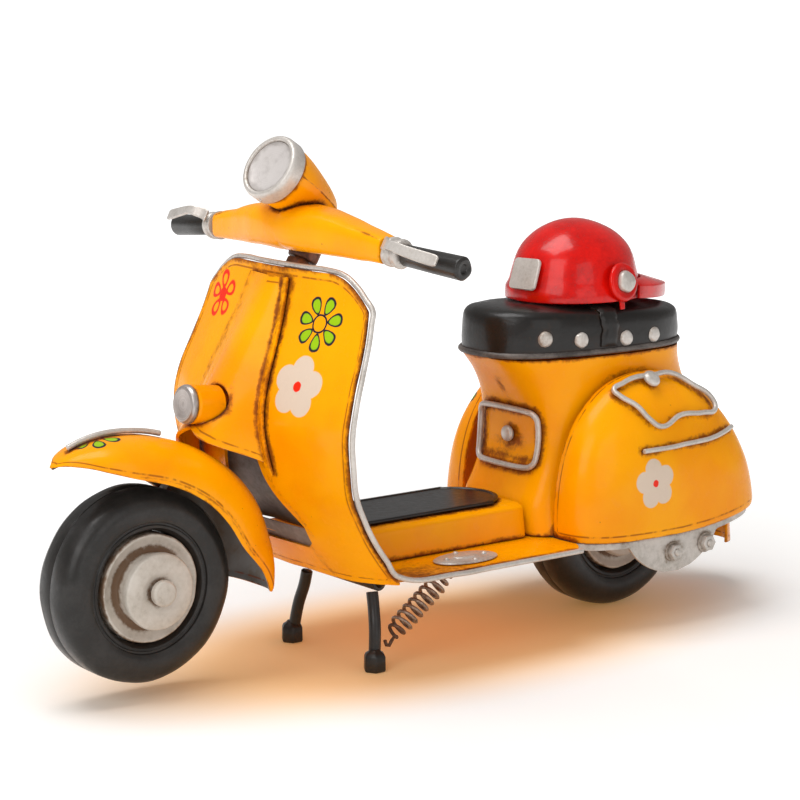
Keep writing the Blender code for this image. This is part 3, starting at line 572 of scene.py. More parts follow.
class Graph:
    """One material's node tree."""

    def __init__(self, name: str) -> None:
        """Start an empty material with its output and its surface shader."""
        self.material = bpy.data.materials.new(name)
        self.material.use_nodes = True
        self.tree = self.material.node_tree
        self.surface = self.tree.nodes["Principled BSDF"]
        coordinates = self.tree.nodes.new("ShaderNodeTexCoord")
        self.place = Value(self, coordinates.outputs["Object"])

    def node(self, kind: str, settings: dict[str, object], sockets: dict[object, Input],
             output: object = 0) -> Value:
        """Add any node.

        Args:
            kind: The node's type.
            settings: Properties set first; "stops" fills a colour ramp.
            sockets: Values or links of its inputs, by name or number.
            output: The output handed back, by name or number.

        Returns:
            That output as a value.
        """
        made = self.tree.nodes.new(kind)
        for name, value in settings.items():
            if name == "stops":
                ramp = made.color_ramp
                while len(ramp.elements) < len(value):
                    ramp.elements.new(0.5)
                for element, (position, colour) in zip(ramp.elements, value):
                    element.position = position
                    element.color = (*colour, 1.0)
            else:
                setattr(made, name, value)
        for key, value in sockets.items():
            self.feed(made.inputs[key], value)
        return Value(self, made.outputs[output])

    def feed(self, socket: bpy.types.NodeSocket, value: Input) -> None:
        """Link a value to a socket, or set the socket to a constant."""
        if isinstance(value, Value):
            self.tree.links.new(value.socket, socket)
        elif isinstance(value, tuple) and len(value) == 3 and socket.type == "RGBA":
            socket.default_value = (*value, 1.0)
        else:
            socket.default_value = value

    def mark(self, name: str) -> Value:
        """Number stored on a mesh's points."""
        return self.node("ShaderNodeAttribute", {"attribute_name": name}, {}, "Fac")

    def noise(self, size: float, detail: float = 3.0, rough: float = 0.55,
              stretch: Point = (1, 1, 1), shift: float = 0.0) -> Value:
        """Cloudy pattern whose blotches are about one size, in millimetres."""
        where = self.node("ShaderNodeMapping", {}, {
            "Vector": self.place, "Location": (shift, shift, shift),
            "Scale": tuple(1 / (size * MM * axis) for axis in stretch)})
        return self.node("ShaderNodeTexNoise", {}, {
            "Vector": where, "Scale": 1.0, "Detail": detail, "Roughness": rough}, "Fac")

    def cells(self, size: float, jitter: float = 1.0) -> Value:
        """Distance to scattered points about one size apart."""
        where = self.node("ShaderNodeMapping", {}, {
            "Vector": self.place, "Scale": (1 / (size * MM),) * 3})
        return self.node("ShaderNodeTexVoronoi", {}, {
            "Vector": where, "Scale": 1.0, "Randomness": jitter}, "Distance")

    def mix(self, factor: Input, first: Input, second: Input) -> Value:
        """Blend two colours."""
        return self.node("ShaderNodeMix", {"data_type": "RGBA", "clamp_factor": True},
                         {0: factor, 6: first, 7: second}, 2)

    def bump(self, height: Value, depth: float, below: Value | None = None) -> Value:
        """Surface normal pushed by a height, depth in millimetres."""
        sockets: dict[object, Input] = {"Height": height, "Strength": 1.0, "Distance": depth * MM}
        if below is not None:
            sockets["Normal"] = below
        return self.node("ShaderNodeBump", {}, sockets)

    def finish(self, **sockets: Input) -> bpy.types.Material:
        """Feed the surface shader, underscores standing for spaces."""
        for name, value in sockets.items():
            self.feed(self.surface.inputs[name.replace("_", " ")], value)
        return self.material


class Petal(Enum):
    """Forms a painted petal can take: half length, half width and fullness at its tip.

    The lengths are shares of the flower's reach.
    """

    ROUND = (0.43, 0.43, 0.0)
    TEARDROP = (0.31, 0.20, 0.40)
    LOOP = (0.33, 0.25, 0.30)


@dataclass(frozen=True)
class Flower:
    """A flower painted on a panel, its sizes in millimetres.

    It lies on the plane through its centre that faces one way, with one direction up.
    Its petals have a fill and a line, and its round heart has a line and a fill.
    """

    centre: Point
    facing: Point
    reach: float
    petals: int
    petal: Petal
    fill: Colour
    line: Colour
    line_width: float
    heart: Colour
    heart_radius: float
    heart_fill: Colour
    spin: float = 0.0
    up: Point = (0.0, 0.0, 1.0)

    def paint(self, graph: Graph, under: Value, wear: Value, outer: Value) -> Value:
        """Lay the flower over a colour.

        Args:
            graph: The material being built.
            under: Colour below it.
            wear: Noise that eats into its edges.
            outer: Mask of the sheet's outer face.

        Returns:
            The colour with the flower on it.
        """
        front = Vector(self.facing).normalized()
        across = Vector(self.up).cross(front).normalized()
        rise = front.cross(across)
        middle = Vector(self.centre) * MM
        x = (graph.place.dot(tuple(across)) - middle.dot(across)) * (1 / MM)
        y = (graph.place.dot(tuple(rise)) - middle.dot(rise)) * (1 / MM)
        away = (x * x + y * y).run("SQRT")
        sector = math.tau / self.petals
        turned = y.run("ARCTAN2", x) / sector + self.spin
        folded = (turned.run("FRACT") - 0.5) * sector
        long, wide, full = (share * self.reach for share in self.petal.value)
        seat = self.reach - long
        along = away * folded.run("COSINE") - seat
        girth = (along * (full / self.reach / long) + 1) * wide
        side = away * folded.run("SINE") / girth
        edge = (along * along * (1 / long**2) + side * side).run("SQRT") - 1
        rim = edge * wide + (wear - 0.5) * 0.35
        inside = rim.ramp(0.18, -0.18) * outer
        colour = graph.mix(inside, under, self.fill)
        if self.line_width:
            ring = rim.run("ABSOLUTE").ramp(self.line_width, self.line_width - 0.3) * outer
            colour = graph.mix(ring, colour, self.line)
        ragged = away + (wear - 0.5) * 0.6
        if self.petal is Petal.ROUND:
            hub = ragged.ramp(seat * 0.95, seat * 0.95 - 0.4) * outer
            colour = graph.mix(hub, colour, self.fill)
        heart = ragged.ramp(self.heart_radius + 0.12, self.heart_radius - 0.12) * outer
        colour = graph.mix(heart, colour, self.heart)
        yolk = ragged.ramp(self.heart_radius - 0.5, self.heart_radius - 0.75) * outer
        return graph.mix(yolk, colour, self.heart_fill)


@dataclass(frozen=True)
class TinPaint:
    """Gloss paint over tin, with a brown wash lying in its corners."""

    name: str = "tin_paint"
    light: Colour = (0.95, 0.375, 0.0)
    deep: Colour = (0.90, 0.285, 0.0)
    wash: Colour = (0.19, 0.032, 0.003)
    soot: Colour = (0.045, 0.012, 0.005)
    primer: Colour | None = None
    dust: Colour = (0.13, 0.10, 0.075)
    flowers: tuple[Flower, ...] = ()
    coat: float = 0.10
    shine: float = 0.10
    bead_line: float = 2.0

    def material(self) -> bpy.types.Material:
        """Build the paint."""
        graph = Graph(self.name)
        broad = graph.noise(34, 2, 0.5)
        cloud = graph.noise(7, 4, 0.6, shift=3.1)
        fine = graph.noise(1.6, 4, 0.7, shift=7.7)
        streak = graph.noise(2.6, 3, 0.6, stretch=(1, 1, 3.2), shift=1.3)
        colour = graph.mix((broad * 0.9 + cloud * 0.25).ramp(0.40, 0.80), self.light, self.deep)
        outer = graph.mark("outer")
        for flower in self.flowers:
            colour = flower.paint(graph, colour, fine, outer)
        if self.primer is not None:
            inside = graph.mix(cloud.ramp(0.45, 0.7), self.primer, self.dust)
            colour = graph.mix(outer, inside, colour)
        seam = graph.mark("wash")
        spread = seam + (cloud - 0.5) * 0.8 + (fine - 0.5) * 0.8
        stain = spread.ramp(0.40, 0.90)
        grime = (seam + (fine - 0.5) * 0.7 + (streak - 0.5) * 0.6).ramp(0.78, 1.08)
        rim = graph.mark("rim")
        bead = (rim - self.bead_line).run("ABSOLUTE")
        line = bead.ramp(0.45, 0.12) * (streak + (cloud - 0.5) * 0.6).ramp(0.30, 0.55) * 0.8
        lip = (rim + (fine - 0.5) * 1.2).ramp(0.55, 0.1) * cloud.ramp(0.42, 0.62) * 0.7
        specks = graph.cells(5.2).ramp(0.05, 0.03) * fine.ramp(0.5, 0.56) * 0.8
        brown = stain.both(line).both(lip)
        colour = graph.mix(brown * 0.86, colour, self.wash)
        colour = graph.mix((grime * 0.85).both(specks), colour, self.soot)
        rough = brown * 0.26 + grime * 0.25 + cloud * 0.10 + 0.22
        skin = graph.bump(graph.noise(3.4, 2, 0.5), 0.03)
        lumps = graph.bump(brown * 0.5 + fine * 0.18, 0.08, skin)
        coat = self.coat - brown * 0.8 * self.coat
        graph.surface.inputs["Coat Roughness"].default_value = 0.1
        graph.surface.inputs["Specular IOR Level"].default_value = self.shine
        return graph.finish(Base_Color=colour, Roughness=rough, Normal=lumps, Coat_Weight=coat)


@dataclass(frozen=True)
class WornCoat:
    """Any other painted or bare coat, grimy in its corners; on the hubs part of that corner
    darkening is painted shade.

    Reach is how far dirt creeps out of a corner, less for further; relief is the depth of
    its lumps and grain their size, in millimetres.
    """

    name: str
    light: Colour
    deep: Colour
    grime: Colour
    rough: float
    metal: float = 0.0
    grain: float = 1.4
    relief: float = 0.05
    dirt: float = 0.6
    reach: float = 0.5
    coat: float = 0.0
    shine: float = 0.5
    blots: float = 0.55

    def material(self) -> bpy.types.Material:
        """Build the coat."""
        graph = Graph(self.name)
        broad = graph.noise(9, 3, 0.55, shift=2.3)
        fine = graph.noise(self.grain, 5, 0.7, shift=5.9)
        colour = graph.mix((broad * 0.6 + fine * 0.5).ramp(0.38, 0.72), self.light, self.deep)
        seam = graph.mark("wash")
        cover = (seam + (fine - 0.5) * 0.8 + (broad - 0.5) * 0.7).ramp(self.reach, self.reach + 0.5)
        blots = (fine * 0.55 + broad * 0.5).ramp(0.56, 0.72) * self.blots
        dirty = cover.both(blots) * self.dirt
        colour = graph.mix(dirty, colour, self.grime)
        rough = fine * 0.22 + dirty * 0.25 + (self.rough - 0.11)
        normal = graph.bump(fine * 0.7 + broad * 0.6, self.relief)
        graph.surface.inputs["Metallic"].default_value = self.metal
        graph.surface.inputs["Coat Weight"].default_value = self.coat
        graph.surface.inputs["Specular IOR Level"].default_value = self.shine
        return graph.finish(Base_Color=colour, Roughness=rough, Normal=normal)


@dataclass(frozen=True)
class SpunMetal:
    """Bare metal with fine rings left by the lathe."""

    name: str
    centre: Point
    axis: Point
    light: Colour = (0.72, 0.71, 0.69)
    deep: Colour = (0.50, 0.48, 0.45)
    grime: Colour = (0.12, 0.085, 0.05)
    ring: float = 0.34
    metal: float = 0.85

    def material(self) -> bpy.types.Material:
        """Build the metal."""
        graph = Graph(self.name)
        axis = Vector(self.axis).normalized()
        side = axis.orthogonal().normalized()
        other = axis.cross(side)
        middle = Vector(self.centre) * MM
        x = graph.place.dot(tuple(side)) - middle.dot(side)
        y = graph.place.dot(tuple(other)) - middle.dot(other)
        away = (x * x + y * y).run("SQRT") * (1 / (self.ring * MM))
        rings = graph.node("ShaderNodeTexNoise", {"noise_dimensions": "1D"},
                           {"W": away, "Scale": 1.0, "Detail": 3.0}, "Fac")
        cloud = graph.noise(4.5, 4, 0.6)
        colour = graph.mix((rings * 0.6 + cloud * 0.5).ramp(0.42, 0.72), self.light, self.deep)
        seam = (graph.mark("wash") + (cloud - 0.5) * 1.1).ramp(0.55, 1.05)
        blots = cloud.ramp(0.60, 0.74) * 0.15
        dirty = seam.both(blots)
        colour = graph.mix(dirty * 0.75, colour, self.grime)
        rough = rings * 0.16 + dirty * 0.3 + 0.24
        graph.surface.inputs["Metallic"].default_value = self.metal
        return graph.finish(Base_Color=colour, Roughness=rough,
                            Normal=graph.bump(rings * 0.6 + cloud * 0.3, 0.04))


@dataclass(frozen=True)
class Coat:
    """A built finish, the record's slot it belongs to, and how well wash holds to it."""

    material: bpy.types.Material
    slot: str
    hold: float = 1.0


def worn(slot: str, name: str, *look: Colour | float, hold: float = 1.0, **more: float) -> Coat:
    """A worn coat built for one of the record's slots."""
    return Coat(WornCoat(name, *look, **more).material(), slot, hold)


class Palette:
    """Every finish on the scooter, built once."""

    def __init__(self) -> None:
        """Build the finishes."""
        self.paint = Coat(TinPaint().material(), "orange_paint")
        self.shield = Coat(TinPaint("shield_paint", flowers=SHIELD_FLOWERS).material(),
                           "orange_paint")
        self.cowl = {side: Coat(TinPaint(f"cowl_paint_{side}", flowers=flowers).material(),
                                "orange_paint") for side, flowers in COWL_FLOWERS.items()}
        self.mudguard = Coat(TinPaint("mudguard_paint", primer=(0.16, 0.15, 0.145),
                                      flowers=MUDGUARD_FLOWERS).material(), "orange_paint")
        self.black = worn("black_paint", "black_enamel", (0.026, 0.023, 0.021),
                          (0.012, 0.011, 0.010), (0.085, 0.048, 0.024), 0.34, dirt=0.5, reach=0.66,
                          relief=0.09, coat=0.1, shine=0.35)
        self.seat = worn("black_paint", "seat_enamel", (0.012, 0.010, 0.009),
                         (0.007, 0.006, 0.005), (0.050, 0.024, 0.013), 0.34, dirt=0.45, reach=0.75,
                         grain=2.2, relief=0.14, coat=0.12, shine=0.3)
        # The piping's lighter grey is partly wear and partly painted sheen that stands in for the
        # highlights along its rolled edge.
        self.piping = worn("black_paint", "piping_wear_and_sheen", (0.13, 0.11, 0.098), (0.03, 0.026, 0.024),
                           (0.03, 0.018, 0.012), 0.45, dirt=0.8, reach=0.8, grain=1.0)
        self.tyre = worn("tyre_black", "tyre_black", (0.024, 0.021, 0.019), (0.010, 0.009, 0.008),
                         (0.040, 0.027, 0.019), 0.36, dirt=0.45, grain=2.0, relief=0.10, coat=0.06,
                         shine=0.35)
        self.red = worn("red_paint", "helmet_red", (0.68, 0.005, 0.002), (0.48, 0.002, 0.001),
                        (0.20, 0.010, 0.006), 0.24, dirt=0.55, reach=0.66, relief=0.05, coat=0.22,
                        shine=0.25)
        self.silver = worn("silver_paint", "silver_paint", (0.62, 0.58, 0.54), (0.47, 0.43, 0.39),
                           (0.20, 0.11, 0.05), 0.36, 0.35, dirt=0.55, grain=0.9, blots=0.25,
                           relief=0.05, hold=0.72)
        self.casing = worn("silver_paint", "casing_silver", (0.56, 0.52, 0.48), (0.36, 0.33, 0.29),
                           (0.16, 0.10, 0.05), 0.42, 0.35, dirt=0.7, grain=1.6, relief=0.12,
                           hold=0.9)
        # The hub's grime colour also carries painted shade: the wash rings in the hub's steps
        # darken the recesses the raised disc shades.
        self.hub = worn("aged_steel", "hub_cream", (0.56, 0.51, 0.45), (0.45, 0.40, 0.34),
                        (0.12, 0.055, 0.018), 0.40, 0.1, dirt=0.92, grain=1.8, blots=0.25,
                        relief=0.05, reach=0.42, hold=0.7)
        self.rust = worn("spring_steel", "rusty_wire", (0.44, 0.36, 0.30), (0.18, 0.11, 0.07),
                         (0.10, 0.035, 0.012), 0.36, 0.5, dirt=0.8, grain=0.7, hold=0.6)
        self.column = worn("silver_paint", "column_brown", (0.30, 0.08, 0.012),
                           (0.10, 0.028, 0.010), (0.04, 0.016, 0.008), 0.4, dirt=0.8, grain=1.2,
                           reach=0.4)
        self.primer = worn("orange_paint", "grey_primer", (0.21, 0.19, 0.18), (0.12, 0.105, 0.095),
                           (0.15, 0.07, 0.03), 0.6, dirt=0.6, grain=2.4, hold=0.0)


NAVY, RED, CREAM = (0.012, 0.014, 0.028), (0.80, 0.022, 0.006), (0.66, 0.53, 0.42)
LIME, YOLK = (0.30, 0.52, 0.008), (0.95, 0.36, 0.0)
SHIELD_FLOWERS = (
    Flower((63.9, 24.0, 92.2), (0.93, 0.17, 0.32), 9.6, 5, Petal.ROUND, CREAM, CREAM, 0.0, RED,
           1.55, RED, 0.32),
    Flower((56.4, 24.6, 110.4), (0.92, 0.16, 0.34), 8.4, 7, Petal.TEARDROP, LIME, NAVY, 0.42,
           NAVY, 3.0, YOLK, 0.2),
    Flower((54.6, -29.8, 113.4), (0.92, -0.20, 0.34), 7.2, 5, Petal.LOOP, YOLK, RED, 0.68,
           RED, 2.3, RED, 0.1), )
COWL_FLOWERS = {
    "left": (Flower((-65.7, 40.6, 49.2), (0.03, 1.0, 0.09), 8.2, 5, Petal.ROUND, CREAM, CREAM,
                    0.0, RED, 1.15, RED, 0.14),),
    "right": (Flower((-52.0, -34.0, 68.0), (0.35, -0.86, 0.36), 7.6, 7, Petal.TEARDROP, LIME,
                     NAVY, 0.42, NAVY, 2.8, YOLK, 0.1),), }
MUDGUARD_FLOWERS = (
    Flower((118.5, -1.0, 79.2), (0.16, 0.0, 1.0), 7.8, 7, Petal.TEARDROP, LIME, NAVY, 0.42,
           NAVY, 2.8, YOLK, 0.35, (1.0, 0.0, 0.0)), )

PIECES: list[tuple[Piece, float]] = []
NO_RIM = 9.0
CONTACT_WASH = 1.12
MARKS = {"rim": NO_RIM, "outer": 1.0, "wash": 0.0}


def dress(piece: Piece, coat: Coat, *nodes: str, body: Body | None = Body.CHASSIS,
          angle: float = 38.0) -> Piece:
    """Smooth a finished piece, give it its finish and ride it on its body.

    Args:
        piece: The finished mesh.
        coat: Its finish.
        nodes: Plain solids of the frame it stands for.
        body: The body it moves with, or None for a piece that rides on no body.
        angle: Corners sharper than this stay sharp, in degrees.

    Returns:
        The piece.
    """
    Bench.pick(piece)
    bpy.ops.object.shade_smooth_by_angle(angle=math.radians(angle))
    piece.data.materials.clear()
    piece.data.materials.append(coat.material)
    for name, value in MARKS.items():
        if piece.data.attributes.get(name) is None:
            Bench.mark(piece, name, [value] * len(piece.data.vertices))
    if nodes:
        piece.name = f"{nodes[0]}_finished"
        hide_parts(*nodes)
    if body is not None:
        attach(piece, body.value)
    PIECES.append((piece, coat.hold))
    LOG.info("%s: %d faces, %s", piece.name, len(piece.data.polygons), coat.material.name)
    return piece


def stain(piece: Piece, trail: Sequence[Point], reach: float, strength: float = 1.0) -> None:
    """Lay wash along a line, strongest on it and gone at its reach in millimetres; on the hubs it
    also lays painted shade in their steps.
    """
    knots = [Vector(point) * MM for point in trail]
    values = Bench.read(piece, "wash")
    for index, point in enumerate(piece.data.vertices):
        nearest = math.inf
        for start, end in zip(knots, knots[1:]):
            run = end - start
            share = max(0.0, min(1.0, (point.co - start).dot(run) / run.length_squared))
            nearest = min(nearest, (point.co - start - run * share).length)
        value = strength * (1 - nearest / (reach * MM))
        values[index] = max(values[index], value)
    Bench.mark(piece, "wash", values)


def settle_wash(reach: float = 2.7) -> None:
    """Let wash gather on every piece wherever another piece comes close.

    Args:
        reach: How close the other piece has to come, in millimetres.
    """
    trees = {}
    coated = [(piece, hold) for piece, hold in PIECES if hold]
    for piece, _ in coated:
        corners = [vertex.co for vertex in piece.data.vertices]
        faces = [tuple(face.vertices) for face in piece.data.polygons]
        low = Vector([min(c[i] for c in corners) - reach * MM for i in range(3)])
        high = Vector([max(c[i] for c in corners) + reach * MM for i in range(3)])
        trees[piece.name] = (BVHTree.FromPolygons(corners, faces), low, high)
    for piece, hold in coated:
        _, low, high = trees[piece.name]
        near = []
        for name, (tree, other_low, other_high) in trees.items():
            apart = any(other_low[i] > high[i] or low[i] > other_high[i] for i in range(3))
            if name != piece.name and not apart:
                near.append((tree, other_low, other_high))
        values = Bench.read(piece, "wash")
        for index, point in enumerate(piece.data.vertices):
            spot = point.co
            for tree, other_low, other_high in near:
                if any(spot[i] < other_low[i] or spot[i] > other_high[i] for i in range(3)):
                    continue
                distance = tree.find_nearest(spot, reach * MM)[3]
                if distance is not None:
                    share = hold * (CONTACT_WASH - distance / (reach * MM))
                    values[index] = max(values[index], share)
        Bench.mark(piece, "wash", values)


# --- leg shield and apron

@dataclass
class LegShield:
    """The pressed front shield, its horn apron, its column cover and its beading."""

    edge: Table = ((31, 36.5), (36, 41.5), (44, 48.5), (52, 54), (61, 58.8), (70, 61), (79, 61.8),
                   (85, 61), (93, 58.5), (100, 55.6), (109, 52.3), (118, 50), (125, 48.6))
    bulge: Table = ((31, 9.5), (38, 8.5), (48, 7.5), (60, 7.5), (80, 7.5), (100, 7), (112, 6),
                    (125, 4.5))
    half_width: Table = ((31, 38), (36, 39.5), (44, 41), (52, 42.5), (61, 44), (70, 45.5),
                         (79, 46), (85, 46), (93, 45), (100, 43.8), (109, 42.2), (118, 40.6),
                         (125, 39.4))
    bottom: float = 31.0
    top: float = 124.6
    gap: float = 0.35
    opening: Table = ((4.7, 119), (4.7, 88), (7, 74), (10, 64), (14, 55), (18.5, 48), (18, 42.5),
                      (15, 40.5))
    ridge: Table = ((76, 87.5), (80, 83.2), (86, 78), (94.6, 71.8), (103, 66.4), (112, 61),
                    (122, 55.8))
    apron_top: float = 122.0
    lip_height: float = 78.2
    lip_drop: float = 13.2
    fold_share: float = 0.78
    blend_height: float = 78.0
    horn_base: Point = (69.5, 0.0, 84.3)
    horn_tip: Point = (99.4, 0.0, 87.3)
    horn_radius: float = 5.8
    cover_bulge: Table = ((45.6, 5.0), (60, 4.2), (75, 4.4), (86, 6.2), (100, 8.4), (112, 10.0),
                          (120, 11.0))
    cover_half_width: Table = ((45.6, 20.5), (55, 17.5), (64, 12.5), (74, 9.6), (90, 8.6),
                               (120, 8.6))

    def face(self, y: float, z: float) -> float:
        """How far forward the shield's face stands at a place."""
        across = min(abs(y) / read_table(z, self.half_width), 1.0)
        power = 2.0 + 2.5 * max(0.0, (50.0 - z) / 19.0)
        return read_table(z, self.edge) + read_table(z, self.bulge) * (1 - across ** power)

    def brow(self, across: float) -> float:
        """Height of the shield's top edge, level and then rounded down at its corners."""
        return self.top - 9.5 * (max(0.0, abs(across) - 0.58) / 0.42) ** 2.2

    def build_shield(self, palette: Palette) -> None:
        """The bowed sheet with its opening for the column."""
        def shape(u: float, v: float) -> Vector:
            z = self.bottom + (v + 1) / 2 * (self.brow(u) - self.bottom)
            y = u * read_table(z, self.half_width)
            return mm(self.face(y, z), y, z)

        shield = Bench.sheet("leg_shield", shape, 64, 72, dents=0.22, bead=0.5)
        outline = list(self.opening) + [(-y, z) for y, z in reversed(self.opening)]
        upright = Matrix(((0, 0, 1, 0.06), (1, 0, 0, 0), (0, 1, 0, 0), (0, 0, 0, 1)))
        Bench.cut(shield, Bench.slab("opening_tool", outline, 60, upright, 0))
        dress(shield, palette.shield, "leg_shield")

    def lip(self, y: float) -> float:
        """Height of the apron's lower lip."""
        return self.lip_height - self.lip_drop * min(1.3, abs(y) / 16.5) ** 1.25

    def apron_face(self, u: float, v: float) -> Vector:
        """Point of the apron: folded flat on the left, swept into the wing on the right."""
        down = (1 - v) / 2
        flange = 7.0 + 9.5 * down
        fold = 4.6 + 8.7 * down
        sweep = 13.0 + 17.0 * down
        bend = self.fold_share
        if u > bend:
            y = fold + (flange - fold) * (u - bend) / (1 - bend)
        else:
            y = fold * u / bend if u > 0 else sweep * u
        z = self.apron_top - down * (self.apron_top - self.lip(y))
        if u >= bend:
            rise = 0.0
        elif u > 0:
            rise = math.cos(math.pi / 2 * u / bend) ** 1.15
        else:
            rise = (0.5 + 0.5 * math.cos(math.pi * u)) ** 1.1
        stand = read_table(z, self.ridge) - self.face(0, z)
        return mm(self.face(y, z) + self.gap + 0.05 + stand * rise, y, z)

    def build_apron(self, palette: Palette) -> None:
        """The horn's cover, with the hole the horn comes through."""
        def feather(spot: Vector) -> float:
            return ease((spot.y + 4.0) / 6.0) if spot.z > 80 else 1.0

        apron = Bench.sheet("horn_apron", self.apron_face, 64, 56, offset=1.0, dents=0.12,
                            bead=0.25, keep=feather)
        base, tip = Vector(self.horn_base) * MM, Vector(self.horn_tip) * MM
        Bench.cut(apron, Bench.rod("horn_hole", base, tip, self.horn_radius + self.gap, 0))
        rims = Bench.read(apron, "rim")
        hidden = [NO_RIM if point.co.y < 0 and point.co.z > self.blend_height * MM else rim
                  for point, rim in zip(apron.data.vertices, rims)]
        Bench.mark(apron, "rim", hidden)
        fold = []
        for step in range(15):
            v = 1 - step / 7
            spot = self.apron_face(self.fold_share, v) / MM
            fold.append((spot.x + 1.0, spot.y, spot.z))
        stain(apron, fold, 1.9, 1.05)
        stain(apron, [(72, 3.0, 92.0), (77, 6.5, 84.0), (79, 2.0, 78.5), (78, -5.0, 79.5)], 3.4,
              1.0)
        dress(apron, palette.paint, "horn_apron")

    def build_horn(self, palette: Palette) -> None:
        """Painted housing with a spun aluminium cap."""
        base = Vector(self.horn_base) * MM
        ahead = Vector(self.horn_tip) - Vector(self.horn_base)
        r = self.horn_radius
        housing = [(0, 7.4), (r, 7.4), (r, 15.4), (r + 0.15, 15.9), (r, 16.4), (r, 16.9), (0, 16.9)]
        clean = Coat(palette.paint.material, palette.paint.slot, 0.55)
        dress(Bench.turned("horn_housing", housing, base, ahead), clean, "horn_housing")
        cap = [(0, 18.9), (2.2, 19.0), (4.0, 19.25), (5.0, 19.3), (5.6, 18.8), (5.95, 18.0),
               (5.95, 17.25), (0, 17.25)]
        metal = SpunMetal("horn_cap_metal", self.horn_tip, tuple(ahead), (0.46, 0.42, 0.40),
                          (0.27, 0.24, 0.22), metal=0.6)
        dress(Bench.turned("horn_cap", cap, base, ahead),
              Coat(metal.material(), "spun_aluminium"), "horn_cap")

    def build_cover(self, palette: Palette) -> None:
        """Channel on the rider's side that hides the head tube."""
        def shape(u: float, v: float) -> Vector:
            z = 45.6 + (v + 1) / 2 * 74.0
            y = u * read_table(z, self.cover_half_width)
            hollow = math.cos(math.pi / 2 * abs(u)) ** 0.7 * read_table(z, self.cover_bulge)
            return mm(self.face(y, z) - 1.45 - hollow, y, z)

        cover = Bench.sheet("column_cover", shape, 32, 40, 0.9, dents=0.1)
        dress(cover, palette.paint, "column_cover")
        lining = Bench.copy(cover, "cover_lining", Matrix.Translation(mm(0, 0, 0)))
        for point, outer in zip(lining.data.vertices, Bench.read(cover, "outer")):
            point.co.x += 0.00018 if outer > 0.5 else 0.0008
        dress(lining, palette.primer)

        def sole(u: float, v: float) -> Vector:
            y, z = 19.5 * u, 39.5 + 7.5 * v
            return mm(self.face(y, z) - 1.2, y, z)

        dress(Bench.sheet("opening_lining", sole, 20, 10, 0.3, dents=0.05), palette.primer)

    def build_beading(self, palette: Palette) -> None:
        """Silver beading round the floor's sides and the shield's edge."""
        points: list[Point] = [(x, -40.8, 31.7) for x in (-34, -22, -10, 3, 16)]
        for z in (34, 40, 47, 54, 62, 70, 79, 88, 97, 106, 112):
            half = read_table(z, self.half_width)
            points.append((self.face(half, z) - 1.1, -half - 0.95, z))
        for across in (-1.0, -0.93, -0.84, -0.72, -0.55, -0.3, 0.0):
            z = self.brow(across)
            y = across * read_table(z, self.half_width)
            out = Vector((0, across ** 3, 1 - abs(across ** 3))).normalized() * 0.9
            points.append((self.face(y, z) - 1.2, y + out.y, z + out.z))
        points += [(x, -y, z) for x, y, z in reversed(points[:-1])]
        dress(Bench.wire("shield_trim", points, 0.85), palette.silver, "shield_trim")

    def build(self, palette: Palette) -> None:
        """Build and dress the whole front."""
        self.build_shield(palette)
        self.build_apron(palette)
        self.build_horn(palette)
        self.build_cover(palette)
        self.build_beading(palette)


# --- floor

